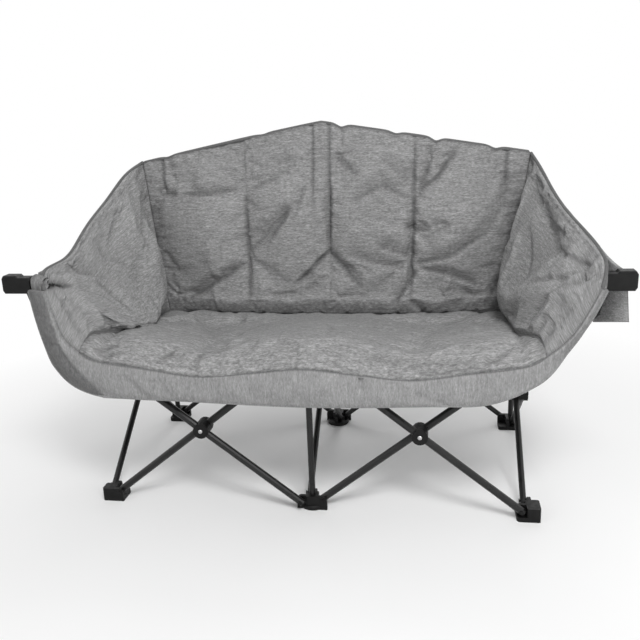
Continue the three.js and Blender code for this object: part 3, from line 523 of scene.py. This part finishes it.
sleeve_seam = 1 - smooth((np.abs(np.abs(middle[..., 0] - sleeve_at) - sleeve_half) - 0.003) / 0.008)
sewn = np.maximum(sewn, sleeve_seam * smooth((v - 0.42) / 0.06))
sewn = np.maximum(sewn, 0.7 * (1 - smooth((v - 0.08) / 0.06)))
front = finer(inflate(front, sewn, 0.045, 0.7, 1.0, 26, 0.014))
u, v = grid(233, 117)
middle = back_sheet(u, v)
x, z = middle[..., 0], middle[..., 2]
# Each seam or fold has its line of places, its depth, its half width and the darkness of its painted shade.
seams = []
for side in (-1, 1):
    seam_top = 0.79 if side < 0 else 0.95
    sleeve_x = sleeve_at + side * sleeve_half
    seams += [
        ([(side * 0.238, 0.40), (side * 0.246, 0.66), (side * 0.252, seam_top)], 0.005, 0.006, 0.7),
        ([(sleeve_x, 0.68), (sleeve_x, 1.02)], 0.003, 0.005, 0.5),
        ([(side * 0.506, 0.73), (side * 0.512, 0.93)], 0.003, 0.006, 0.6),
    ]
folds = [
    ([(0.003, 0.57), (0.004, 0.66), (0.005, 0.80)], 0.006, 0.006, 0.6),
    ([(-0.54, 0.765), (-0.50, 0.757), (-0.45, 0.752)], 0.007, 0.006, 0.75),
    ([(-0.48, 0.752), (-0.36, 0.756), (-0.235, 0.772)], 0.007, 0.007, 0.6),
    ([(-0.47, 0.425), (-0.34, 0.50), (-0.235, 0.565)], 0.006, 0.007, 0.65),
    ([(-0.46, 0.47), (-0.40, 0.53), (-0.36, 0.59)], 0.004, 0.014, 0.0),
    ([(-0.26, 0.57), (-0.18, 0.64), (-0.09, 0.73)], 0.009, 0.010, 0.45),
    ([(-0.19, 0.60), (-0.13, 0.68), (-0.11, 0.72)], 0.007, 0.008, 0.4),
    ([(-0.11, 0.66), (-0.06, 0.79)], 0.005, 0.008, 0.3),
    ([(-0.26, 0.755), (-0.17, 0.79), (-0.08, 0.85)], 0.007, 0.010, 0.3),
    ([(-0.40, 0.80), (-0.30, 0.86), (-0.20, 0.87)], 0.006, 0.020, 0.0),
    ([(-0.50, 0.83), (-0.46, 0.79), (-0.38, 0.775)], 0.008, 0.022, 0.0),
    ([(0.30, 0.70), (0.38, 0.72), (0.46, 0.70)], 0.005, 0.020, 0.0),
    ([(0.06, 0.66), (0.14, 0.68), (0.22, 0.66)], 0.005, 0.020, 0.0),
    ([(0.015, 0.60), (-0.05, 0.54), (-0.11, 0.485)], 0.008, 0.007, 0.6),
    ([(-0.10, 0.47), (0.01, 0.50)], 0.006, 0.009, 0.2),
    ([(0.01, 0.86), (0.09, 0.795)], 0.006, 0.006, 0.5),
    ([(-0.015, 0.60), (0.05, 0.535), (0.11, 0.47)], 0.008, 0.007, 0.65),
    ([(0.12, 0.87), (0.26, 0.76)], 0.005, 0.010, 0.25),
    ([(0.05, 0.72), (0.16, 0.77), (0.25, 0.725)], 0.008, 0.010, 0.45),
    ([(0.24, 0.735), (0.31, 0.79), (0.38, 0.88)], 0.009, 0.009, 0.6),
    ([(0.25, 0.73), (0.28, 0.79), (0.30, 0.88)], 0.008, 0.008, 0.55),
    ([(0.22, 0.66), (0.25, 0.64), (0.30, 0.645)], 0.008, 0.008, 0.6),
    ([(0.26, 0.61), (0.36, 0.665)], 0.006, 0.009, 0.3),
    ([(0.23, 0.54), (0.35, 0.57), (0.48, 0.65)], 0.009, 0.009, 0.6),
    ([(0.13, 0.615), (0.26, 0.555)], 0.008, 0.010, 0.45),
    ([(0.03, 0.585), (0.24, 0.53)], 0.006, 0.010, 0.25),
    ([(0.24, 0.54), (0.35, 0.52), (0.47, 0.475)], 0.008, 0.009, 0.5),
    ([(0.175, 0.41), (0.27, 0.55)], 0.008, 0.007, 0.6),
    ([(0.23, 0.45), (0.29, 0.39)], 0.007, 0.007, 0.5),
    ([(0.43, 0.60), (0.50, 0.71), (0.52, 0.80)], 0.007, 0.012, 0.3),
    ([(0.46, 0.44), (0.51, 0.52)], 0.007, 0.007, 0.6),
    ([(0.36, 0.41), (0.42, 0.47)], 0.005, 0.010, 0.1),
]
valley, dark = press_folds(x, z, seams + folds)
raised = 0.003 * smooth((0.0235 - np.abs(x - sleeve_at)) / 0.004) * smooth((v - 0.55) / 0.06)
front += np.stack([0 * u, 2.1 * valley - raised, 0 * u], -1)
rear = middle + np.stack([0 * u, 0.005 + 0.008 * crown(v) * crown(u), 0 * u], -1)
# Painted shade: a dark band under the foot roll, shade in the hollows by the arms, a faint shade over the
# whole back, and a dark line under the top hem.
dark = np.maximum(dark, 0.36 * (1 - smooth((v - 0.07) / 0.025)))
recess_shade = 0.7 * bell(np.minimum(u, 1 - u) / 0.036) * smooth((v - 0.05) / 0.15) * smooth((0.85 - v) / 0.15)
dark = np.maximum(0.11 + 1.15 * dark, recess_shade * (0.75 + 0.25 * np.sin(31 * v + 3 * np.sin(9 * v))))
dark = np.minimum(darkest_shade, np.maximum(dark, 0.5 * (1 - smooth(((1 - v) - 0.004) / 0.012))))
back = padded_piece("padded_back", front, rear, np.stack([x, z], -1), dark, grain_across)
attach(back, "rear_middle_base")
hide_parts("back_panel")
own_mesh(back)


# Hem of the back: the top edge of the canvas, turned over a cord in the dark canvas, which paints
# the shade along the edge. It runs from corner to corner over the three posts.
def bead(name, line, radius, finish, sides=10):
    """A round cord along a line: circles square to the line, drawn in at both ends."""
    along = np.gradient(line, axis=0)
    along /= np.linalg.norm(along, axis=1, keepdims=True)
    side = np.cross(along, [0.13, 0.41, 0.9])
    side /= np.linalg.norm(side, axis=1, keepdims=True)
    lift = np.cross(side, along)
    turn = np.linspace(0, 2 * np.pi, sides, endpoint=False)[None, :, None]
    ends = np.array([0.05, *np.ones(len(line) - 2), 0.05])[:, None, None]
    rings = line[:, None] + ends * radius * (np.cos(turn) * side[:, None] + np.sin(turn) * lift[:, None])
    piece = smooth_mesh(name, rings.reshape(-1, 3), ring_faces(len(line), sides)[:, ::-1], finish)
    length = np.concatenate([[0], np.cumsum(np.linalg.norm(np.diff(line, axis=0), axis=1))])
    flat = np.stack(np.broadcast_arrays(length[:, None], radius * turn[0, :, 0][None]), -1)
    map_cloth(piece.data, flat.reshape(-1, 2))
    return piece


back_hem = bead("back_hem", middle[-1], 0.0052, painted_shade_cloth)
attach(back_hem, "rear_middle_base")
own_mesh(back_hem)

# Pole pockets: closed sleeves of canvas, sewn to the rear of the back along a tapering web and
# slipped over the tops of the posts.
post_y, pocket_r, bore_r, pocket_drop = 0.290, 0.0137, 0.0086, 0.15
for side, post, top, body in [
    ("left", -0.548, 0.842, "rear_left_base"),
    ("middle", 0, 0.940, "rear_middle_base"),
    ("right", 0.548, 0.842, "rear_right_base"),
]:
    u, v = grid(41, 31)
    turn = 2 * np.pi * u
    closing = np.maximum(np.sqrt(np.clip(1 - np.clip((v - 0.9) / 0.1, 0, 1) ** 2, 0, 1)), 0.02)
    reach = pocket_r * (1 + 0.05 * np.sin(9 * v + 2 * turn) * (1 - v)) * closing
    bore = bore_r * closing
    height = top - pocket_drop + 0.156 * v
    web = post_y - lerp(0.200, 0.266, (height - 0.3924) / (top + 0.008 - 0.3924))
    deep = np.where(np.sin(turn) < 0, web * np.maximum(closing, 0.5), reach) * np.sin(turn)
    outside = np.stack([post + reach * np.cos(turn), post_y + deep, height], -1)
    inside_top = top - pocket_drop + 0.152 * v
    inside = np.stack([post + bore * np.cos(turn), post_y + bore * np.sin(turn), inside_top], -1)
    flat = np.stack([0.086 * u, 0.156 * v], -1)
    pocket = padded_piece(f"{side}_pole_pocket", outside, inside, flat, 0 * u, grain_upright)
    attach(pocket, body)


# Seat: one dished pad of foam in canvas that rolls over the front rail, split at the fold line
# across its middle so that it can fold up. Its front corners run out under the arms.
seat_front, seat_rear, crest_y, fold_y = -0.324, 0.199, -0.255, -0.038
seat_dish, wing_climb = 0.026, 0.42


def seat_lip(s):
    """Height of the front rail line: it dips over each place and climbs to the corners."""
    return 0.4034 - seat_dish * np.sin(np.pi * np.minimum(1, np.abs(s))) ** 2 + corner_climb * s * s


def seat_top(x, y):
    """Height of the pad: a parabola from the crest down over the rail, and a soft fall to the rear."""
    s = x / pad_half
    dish = seat_dish * np.sin(np.pi * np.minimum(1, np.abs(s))) ** 2
    crest = 0.4494 - dish * 0.75
    t = np.clip((crest_y - y) / 0.066, 0, 1.3)
    k = np.clip((y - crest_y) / 0.454, 0, 1)
    ahead = lerp(crest, seat_lip(s), t * t)
    fall = smooth(k) * 0.5 + k * 0.5
    behind = lerp(crest, 0.3914 + corner_climb * s * s, fall) - dish * 0.4 * np.sin(np.pi * k)
    return np.where(y < crest_y, ahead, behind)


def seat_half(y):
    """Half the seat's width: it spreads towards the front corners."""
    return pad_half + 0.048 * smooth((-0.15 - y) / 0.16)


def seat_sheet(u, v):
    """The pad's upper face, whose front corners climb a little towards the arms' front hems."""
    y = lerp(seat_front, seat_rear, v)
    x = (2 * u - 1) * seat_half(y)
    wing = np.maximum(0, np.abs(x) - pad_half)
    return np.stack([x, y, seat_top(x, y) + wing_climb * wing], -1)


u, v = grid(109, 57)
sheet = seat_sheet(u, v)
rim = np.minimum.reduce([u, 1 - u, 0.53 * v, 0.53 * (1 - v)])
sewn = 1 - smooth((rim - 0.003) / 0.010)
sheet = finer(inflate(sheet, sewn, 0.035, 1.0, 0.8, 24, 0.013))
u, v = grid(217, 113)
middle = seat_sheet(u, v)
x, y = middle[..., 0], middle[..., 1]
folds = [
    ([(-0.36, -0.31), (-0.32, -0.275)], 0.005, 0.006, 0.5),
    ([(-0.265, -0.33), (-0.26, -0.29), (-0.22, -0.26)], 0.006, 0.008, 0.4),
    ([(-0.22, -0.29), (-0.21, -0.18), (-0.20, -0.06)], 0.006, 0.012, 0.2),
    ([(-0.24, -0.295), (-0.14, -0.22)], 0.005, 0.010, 0.25),
    ([(-0.25, -0.02), (-0.26, 0.18)], 0.006, 0.010, 0.3),
    ([(-0.21, -0.11), (-0.16, 0.03), (-0.10, 0.16)], 0.005, 0.014, 0.1),
    ([(-0.43, 0.15), (-0.31, 0.04), (-0.24, -0.08)], 0.005, 0.014, 0.1),
    ([(-0.53, -0.31), (-0.46, -0.275)], 0.005, 0.007, 0.4),
    ([(-0.51, -0.325), (-0.45, -0.295)], 0.004, 0.006, 0.3),
    ([(0.03, -0.165), (0.18, -0.22), (0.29, -0.285)], 0.005, 0.012, 0.2),
    ([(0.10, -0.275), (0.25, -0.30), (0.42, -0.30)], 0.004, 0.008, 0.25),
    ([(0.27, -0.29), (0.39, -0.21), (0.51, -0.18)], 0.006, 0.012, 0.2),
    ([(0.23, -0.31), (0.40, -0.315), (0.51, -0.285)], 0.003, 0.007, 0.25),
    ([(0.10, 0.02), (0.26, 0.0), (0.40, 0.06)], 0.004, 0.014, 0.1),
    ([(0.05, 0.11), (0.25, 0.08), (0.46, 0.13)], 0.005, 0.012, 0.2),
    ([(-0.42, 0.03), (-0.25, 0.07), (-0.05, 0.02)], 0.005, 0.012, 0.2),
    ([(-0.05, -0.10), (0.12, -0.06), (0.36, -0.11)], 0.005, 0.010, 0.2),
    ([(0.20, -0.16), (0.36, -0.12), (0.50, -0.14)], 0.005, 0.010, 0.25),
    ([(-0.46, -0.12), (-0.30, -0.16), (-0.10, -0.14)], 0.005, 0.010, 0.2),
    ([(-0.16, 0.18), (-0.05, 0.12), (0.12, 0.17)], 0.005, 0.009, 0.25),
    ([(0.02, -0.02), (0.05, -0.14), (0.04, -0.26)], 0.004, 0.010, 0.15),
]
valley, dark = press_folds(x, y, folds)
lip = np.clip(np.minimum((y - seat_front) / 0.04, (seat_rear - y) / 0.04), 0, 1)
side_fall = np.minimum(1, np.minimum(12 * u, 12 * (1 - u)))
under = middle - np.stack([0 * u, 0 * u, 0.008 + 0.014 * np.minimum(lip, side_fall)], -1)
sheet -= outward(sheet, under) * 1.3 * valley[..., None]
# Painted shade: a thin dark line at the front roll's seam, shade at the rear under the back, and along the
# sides under the arms.
dark = np.maximum(dark, 0.8 * (1 - smooth((v - 0.003) / 0.005)))
dark = np.maximum(1.2 * dark, 0.25 * bell((1 - v) / 0.015))
dark = np.maximum(dark, 0.45 * bell(np.minimum(u, 1 - u) / 0.012))
dark = np.minimum(darkest_shade, dark)
half = int(np.argmin(np.abs(y[:, 0] - fold_y)))
flat = np.stack([x, y], -1)
for name, rows, body, node in [
    ("seat_pad_front", slice(0, half + 1), "seat_front_flap", "seat_front_half"),
    ("seat_pad_rear", slice(half, None), "seat_rear_flap", "seat_rear_half"),
]:
    seat = padded_piece(name, sheet[rows], under[rows], flat[rows], dark[rows], grain_across)
    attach(seat, body)
    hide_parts(node)
    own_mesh(seat)


# Front band: a boxed strip of canvas with its grain upright. It hangs under the seat's front roll,
# and climbs along the arms' front hems to both arm tips, where it turns outwards.
def curve_through(half, t, other=None):
    """A smooth curve through knots on both sides of the middle, from 0 at the left end to 1 at the right."""
    half = np.array(half)
    left = half if other is None else np.array(other)
    knots = np.concatenate([left[:0:-1] * [-1, 1], half])
    span = np.concatenate([knots[:1] * 2 - knots[1:2], knots, knots[-1:] * 2 - knots[-2:-1]])
    place = t * (len(knots) - 1)
    i = np.clip(place.astype(int), 0, len(knots) - 2)
    w = (place - i)[..., None]
    p0, p1, p2, p3 = span[i], span[i + 1], span[i + 2], span[i + 3]
    square = 2 * p0 - 5 * p1 + 4 * p2 - p3
    cube = 3 * p1 - p0 - 3 * p2 + p3
    return 0.5 * (2 * p1 + (p2 - p0) * w + square * w**2 + cube * w**3)


lip_knots = [(pad_half * k, seat_lip(k)) for k in (0, 0.25, 0.5, 0.75, 1)]
hem_right = [(0.5622, 0.4433), (0.6070, 0.4860), (0.6390, 0.5410), (0.6620, 0.5910)]
hem_left = [(0.5600, 0.4390), (0.5930, 0.4740), (0.6100, 0.5300), (0.6240, 0.5880)]
low_start = [(0, 0.3065), (0.2882, 0.3145)]
low_left = [(0.430, 0.318), (0.562, 0.327), (0.637, 0.371), (0.665, 0.470), (0.678, 0.587)]
low_right = [(0.4348, 0.3240), (0.541, 0.375), (0.603, 0.440), (0.646, 0.510), (0.6772, 0.589)]
turn_heights = [0.32, 0.335, 0.395, 0.46, 0.53, 0.59]
turn_places = [-0.500, -0.517, -0.572, -0.598, -0.612, -0.622]
band_front, band_rear, hem_y = -0.3248, -0.3158, -0.3203
u, v = grid(281, 21)
side = np.abs(2 * u - 1)
top = curve_through(lip_knots + hem_right, u, lip_knots + hem_left)
low = curve_through(low_start + low_right, u, low_start + low_left)
under_roll = 0.003 * (1 - smooth((np.abs(top[..., 0]) - 0.52) / 0.05))
band_x, band_z = lerp(low[..., 0], top[..., 0], v), lerp(low[..., 1], top[..., 1] - under_roll, v)
climb = smooth((side - 0.5) / 0.2) * (1 - 0.5 * smooth((side - 0.78) / 0.2))
turn_line = np.interp(band_z, turn_heights, turn_places)
past_line = np.maximum(0, turn_line - band_x)
tuck = np.where(u < 0.5, 0.010, 0.030) * climb * (1 - v) ** 1.2
tuck = tuck + 0.35 * past_line * smooth(v / 0.02 + past_line / 0.01)
front = np.stack([band_x, band_front + tuck - 0.007 * np.sin(np.pi * v) ** 0.8, band_z], -1)
rear = np.stack([band_x, band_rear + tuck, band_z], -1)
rim = np.minimum.reduce([2 * u, 2 * (1 - u), 0.10 * v, 0.10 * (1 - v)])
front = inflate(front, 1 - smooth((rim - 0.002) / 0.006), 0.02, 0.8, 0.6, 16, 0.006)
folds = [
    ([(-0.62, 0.44), (-0.572, 0.395), (-0.517, 0.335), (-0.49, 0.30)], 0.006, 0.008, 0.95),
    ([(0.25, 0.35), (0.35, 0.315)], 0.004, 0.008, 0.2),
    ([(0.13, 0.385), (0.15, 0.34)], 0.004, 0.010, 0.2),
]
valley, dark = press_folds(band_x, band_z, folds)
front += np.stack([0 * u, valley, 0 * u], -1)
# Painted shade: a dark line under the seat's roll, and both ends darkened where the band turns outwards,
# away from the light, the left end most.
seam_shade = lerp(0.8, 0.3, smooth((side - 0.55) / 0.1))
dark = np.maximum(dark, seam_shade * (1 - smooth(((1 - v) * 0.1 - 0.001) / 0.003)))
left_shade = 0.72 * smooth(past_line / 0.008)
right_shade = 0.3 * smooth((side - 0.60) / 0.12) * smooth((0.9 - v) / 0.15)
dark = np.minimum(darkest_shade, np.maximum(dark, np.where(u < 0.5, left_shade, right_shade)))
band = padded_piece("front_apron", front, rear, np.stack([band_x, band_z], -1), dark, grain_upright)
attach(band, "seat_front_carrier")
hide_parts("front_band")
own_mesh(band)
hem_line = np.stack([low[0, :, 0], hem_y + tuck[0], low[0, :, 1]], -1)
band_hem = bead("apron_hem", hem_line, 0.0045, grain_upright)
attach(band_hem, "seat_front_carrier")
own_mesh(band_hem)

# Arms: padded panels slung from the back's corners to the arm tips. Each swells inwards and rolls
# forwards over the arm tube to the front hem, with tension folds from the tip.
arm_long, arm_tall, arm_front, roll_share = 0.58, 0.42, -0.315, 0.13
tip, corner = (0.6722, -0.294, 0.6042), (0.573, 0.267, 0.848)
hem_bells = {
    -1: [(0, -0.030, 0.28, 0.14), (0, 0.020, 0.82, 0.17)],
    1: [(0.022, 0, 0.12, 0.28), (0, 0.012, 0.20, 0.25), (0, 0.006, 0.85, 0.15)],
}


def arm_top(u):
    """The straight line from the arm's tip to the back's corner."""
    return np.stack([lerp(a, b, u) for a, b in zip(tip, corner)], -1)


def hem_bow(u, hand):
    """How far out and up the top hem leaves its straight line: a sum of bells, each with place and width."""
    bells = hem_bells[hand]
    out, rise = (sum(row[i] * bell((u - row[2]) / row[3]) for row in bells) for i in (0, 1))
    return np.stack([out, 0 * u, rise], -1)


def arm_chord(u, v, hand):
    """Straight lines from the seat's side edge up to the arm's top hem, with a slight outward bulge."""
    y = lerp(arm_front, 0.201, u)
    wide = seat_half(y)
    seat_side = seat_top(pad_half + 0 * u, np.minimum(y, seat_rear)) + wing_climb * (wide - pad_half)
    low = np.stack([wide, y, seat_side], -1)
    high = arm_top(u) + hem_bow(u, hand)
    bulge = 0.012 * np.sin(np.pi * v) * np.sin(np.pi * np.clip((u - 0.12) / 0.88, 0, 1))
    return lerp(low, high, v[..., None]) + np.stack([bulge, 0 * bulge, -0.4 * bulge], -1)


def arm_sheet(u, v, hem, hand):
    """The slung lines, with their front ends rolled over to the front hem."""
    edge = curve_through(lip_knots + hem, lerp(0.80, 1, v))
    edge = np.stack([edge[..., 0], arm_front + 0 * u, edge[..., 1]], -1)
    roll = np.minimum(1, u / roll_share)
    left = 1 - np.sin(roll * np.pi / 2)
    return arm_chord(u, v, hand) + (edge - arm_chord(0 * u, v, hand)) * np.stack([left, 1 - roll, left], -1)


# Arm folds have their places as shares of the way from tip to back and from seat to top hem.
arm_folds = {
    "left": [
        ([(0.015, 1.04), (0.060, 0.85), (0.093, 0.72), (0.135, 0.56)], 0.008, 0.012, 1),
        ([(0.06, 1.00), (0.123, 0.857), (0.263, 0.77), (0.393, 0.53), (0.53, 0.343)], 0.007, 0.014, 0.2),
        ([(0.13, 0.60), (0.24, 0.52), (0.33, 0.36), (0.36, 0.24)], 0.006, 0.014, 0.15),
        ([(0.30, 0.62), (0.363, 0.433), (0.393, 0.277), (0.403, 0.16)], 0.005, 0.012, 0.4),
        ([(0.30, 0.25), (0.353, 0.125), (0.52, 0.09), (0.68, 0.14)], 0.004, 0.010, 0.4),
        ([(0.15, 0.24), (0.187, 0.12), (0.222, -0.03)], 0.006, 0.009, 0.5),
        ([(0.33, 0.13), (0.297, -0.03)], 0.004, 0.008, 0.45),
        ([(0.055, 0.86), (0.065, 0.50), (0.085, 0.15)], 0.005, 0.012, 0.2),
        ([(0.55, 0.30), (0.75, 0.45), (0.85, 0.70)], 0.006, 0.020, 0.0),
        ([(0.78, 1.00), (0.63, 0.83), (0.48, 0.66)], 0.006, 0.016, 0.15),
        ([(0.92, 0.86), (0.80, 0.63), (0.66, 0.44)], 0.005, 0.016, 0.15),
        ([(0.21, 0.96), (0.28, 0.77), (0.38, 0.56)], 0.005, 0.008, 0.3),
        ([(0.45, 0.92), (0.45, 0.67), (0.60, 0.43)], 0.005, 0.014, 0.15),
    ],
    "right": [
        ([(0.93, 0.98), (0.763, 0.91), (0.637, 0.853), (0.423, 0.737), (0.25, 0.64)], 0.006, 0.028, 0.25),
        (
            [(0.06, 0.90), (0.08, 0.70), (0.12, 0.523), (0.16, 0.35), (0.20, 0.163), (0.217, 0.0)],
            0.005, 0.012, 0.3,
        ),
        ([(0.09, 0.88), (0.13, 0.76), (0.18, 0.62)], 0.004, 0.012, 0.3),
        ([(0.06, 0.52), (0.06, 0.41), (0.05, 0.193), (0.05, 0.0)], 0.003, 0.012, 0.2),
        ([(0.36, 0.38), (0.247, 0.52), (0.12, 0.66)], 0.005, 0.009, 0.35),
        ([(0.11, 0.40), (0.12, 0.24), (0.10, 0.08)], 0.004, 0.014, 0.1),
        ([(0.40, 0.55), (0.55, 0.35), (0.62, 0.15)], 0.004, 0.024, 0.0),
        ([(0.66, 0.86), (0.50, 0.83), (0.30, 0.88)], 0.005, 0.012, 0.3),
        ([(0.43, 0.74), (0.24, 0.76), (0.06, 0.92)], 0.005, 0.010, 0.25),
        ([(0.74, 0.74), (0.56, 0.47), (0.40, 0.16)], 0.005, 0.018, 0.1),
    ],
}
for side, hand in [("left", -1), ("right", 1)]:
    u, v = grid(61, 45)
    flip = np.array([hand, 1, 1])
    hem = hem_left if hand < 0 else hem_right
    swell = np.clip(u / 0.16, 0, 1)
    puff = 0.034 * np.sqrt(swell * (2 - swell)) * smooth(3 * (1 - u)) * crown(v)
    if hand < 0:
        lobe, lobe_u, lobe_long, lobe_v, lobe_tall = 0.060, 0.46, 0.22, 0.12, 0.12
        lean = 0.030 * np.sin(np.pi * v) ** 0.7
    else:
        lobe, lobe_u, lobe_long, lobe_v, lobe_tall = 0.018, 0.62, 0.26, 0.26, 0.20
        lean = 0.020 * np.sin(np.pi * v) ** 0.7 + 0.014 * bell((v - 0.72) / 0.22)
    lobe_shape = np.exp(-(((u - lobe_u) / lobe_long) ** 2) - ((v - lobe_v) / lobe_tall) ** 2)
    roll_in = lobe * lobe_shape * smooth(v / 0.06)
    over_back = roll_in + lean * bell((u - 0.82) / 0.20) * smooth(6 * (1 - u))
    swollen = [-0.75 * puff - over_back, -0.3 * roll_in, 0.66 * puff - 0.45 * roll_in]
    inner = (arm_sheet(u, v, hem, hand) + np.stack(swollen, -1)) * flip
    rim = np.minimum.reduce([0.6 * u, 0.6 * (1 - u), 0.4 * v, 0.4 * (1 - v)])
    sewn = 1 - smooth((rim - 0.010) / 0.014)
    inner = finer(inflate(inner, sewn, 0.05, 1.0 * hand, 0.8, 24, 0.015))
    u, v = grid(121, 89)
    middle = arm_sheet(u, v, hem, hand) * flip
    rim = np.clip(np.minimum(np.minimum(5 * v, 5 * (1 - v)), 8 * (1 - u)), 0, 1)
    pad = 0.005 + 0.012 * rim * np.minimum(1, u / roll_share)
    outer = middle + np.stack([pad * 0.75, 0 * pad, -pad * 0.66], -1) * flip
    p, q = arm_long * u, arm_tall * v
    front_seam, top_seam = arm_long * 0.035, arm_tall * 0.955
    pressed = [
        ([(arm_long * a, arm_tall * b) for a, b in line], deep, wide, tone)
        for line, deep, wide, tone in arm_folds[side]
    ]
    # The front and top seams carry painted shade, deeper on the left arm.
    pressed += [
        ([(front_seam, 0.0), (front_seam, arm_tall)], 0.002, 0.005, 0.45 if hand < 0 else 0.2),
        ([(-0.1, top_seam), (0.7, top_seam)], 0.002, 0.005, 0.4),
    ]
    valley, dark = press_folds(p, q, pressed)
    thick = np.linalg.norm(inner - outer, axis=-1)
    inner -= outward(inner, outer) * np.minimum(1.7 * valley, 0.7 * thick)[..., None]
    # Painted shade: the strap slit on the left arm is painted black as a hole's shade, and the edges by the
    # back and the seat are darkened where shade falls.
    slit = np.where(hand < 0, np.exp(-(((u - 0.066) / 0.05) ** 4)) * (dark > 0.85), 0)
    dark = np.maximum(np.minimum(darkest_shade, dark), 0.5 * bell((1 - u) / 0.02))
    dark = np.maximum(dark, 0.5 * bell(v / 0.025) * smooth(u / 0.1))
    flat = np.stack([p, q], -1)
    arm = padded_piece(f"{side}_arm_pad", inner, outer, flat, np.maximum(dark, slit), grain_across)
    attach(arm, f"rear_{side}_base")
    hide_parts(f"{side}_arm_panel")
    # Hem and joins to the seat and the back: cords in the dark canvas, painted shade along them.
    arm_hem = bead(f"{side}_arm_hem", middle[-1] + [hand * 0.002, 0, -0.0015], 0.0045, painted_shade_cloth)
    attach(arm_hem, f"rear_{side}_base")
    seat_seam = bead(f"{side}_seat_seam", middle[0] + [0, 0, -0.002], 0.005, painted_shade_cloth)
    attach(seat_seam, f"rear_{side}_base")
    back_join = bead(f"{side}_back_seam", middle[:, -1] + [0, -0.002, 0], 0.006, painted_shade_cloth)
    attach(back_join, f"rear_{side}_base")

    # Tip loop: the front corner of the arm's canvas, sewn into a short sleeve. It is pushed over
    # the inner end of the arm cap, so that the cap carries the arm.
    loop_z, loop_start = 0.5965, 0.640
    loop_y, loop_end = (-0.276, 0.670) if hand < 0 else (-0.252, 0.684)
    u, v = grid(33, 13)
    turn = 2 * np.pi * u
    squeeze = 1 + 0.04 * np.sin(3 * turn + 5 * v)
    ring = [np.sign(wave) * np.abs(wave) ** 0.7 for wave in (np.cos(turn), np.sin(turn))]
    loop_x = hand * lerp(loop_start, loop_end, v)
    skin = []
    for deep, tall in [(0.0205, 0.0238), (0.0185, 0.0218)]:
        loop_height = loop_z + tall * squeeze * ring[1] - 0.006 * (1 - v)
        skin.append(np.stack([loop_x, loop_y + deep * squeeze * ring[0], loop_height], -1))
    flat = np.stack([0.15 * u, 0.045 * v], -1)
    # Painted shade over the loop, darker in a ring near its outer end by the cap.
    loop_shade = 0.35 + 0.4 * bell((v - 0.85) / 0.08)
    loop = padded_piece(f"{side}_tip_loop", *skin, flat, loop_shade, grain_across)
    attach(loop, f"{side}_arm_bar")

    # Side pocket: two layers of canvas sewn flat, which hang outside the arm from its top hem.
    # The right one is drawn out to the arm cap's end.
    tip_out, low_out, tip_drop = (0.041, 0.038, 0.026) if hand > 0 else (0.012, 0.0, 0.004)
    u, v = grid(49, 33)
    along = lerp(0.11, 0.5, u * u)
    ahead = np.clip(1 - u / 0.45, 0, 1) ** 2
    hang = np.stack([0.004 + tip_out * ahead, 0 * u, -0.0036 - tip_drop * ahead], -1)
    hung = arm_top(along) + hem_bow(along, hand) + hang
    fall = np.minimum(0.137 + 0.159 * u * u, 0.209)
    low_place = 0.038 + low_out * (1 - u) ** 2 + 0.003 * np.sin(9 * u + 1.3)
    ends = arm_top(along) + np.stack([low_place, 0 * u, -fall], -1)
    near = lerp(ends, hung, v[..., None])
    # Painted shade: a dark line just above the pocket's lower edge.
    edge_shade = 0.5 * (1 - smooth((v - 0.05) / 0.04)) * smooth((v - 0.01) / 0.03)
    flat = np.stack([0.25 * u, 0.16 * v], -1)
    outer = (near + [0.006, 0, 0]) * flip
    flap = padded_piece(f"{side}_flap", outer, near * flip, flat, edge_shade, grain_across)
    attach(flap, f"rear_{side}_base")
    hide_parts(f"{side}_side_pocket")
    for piece in (arm, arm_hem, seat_seam, back_join, flap):
        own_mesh(piece)

# Seam between the seat and the back: the two pads are sewn together over a covered cord, which lies
# in the hollow where they meet. Its dark canvas paints the shade in that hollow.
s = np.linspace(-1, 1, 101)
rear_line = np.stack([pad_half * s, 0 * s + 0.193, 0.3942 + corner_climb * s * s], -1)
rear_seam = bead("rear_seam", rear_line, 0.006, painted_shade_cloth)
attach(rear_seam, "rear_middle_base")
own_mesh(rear_seam)
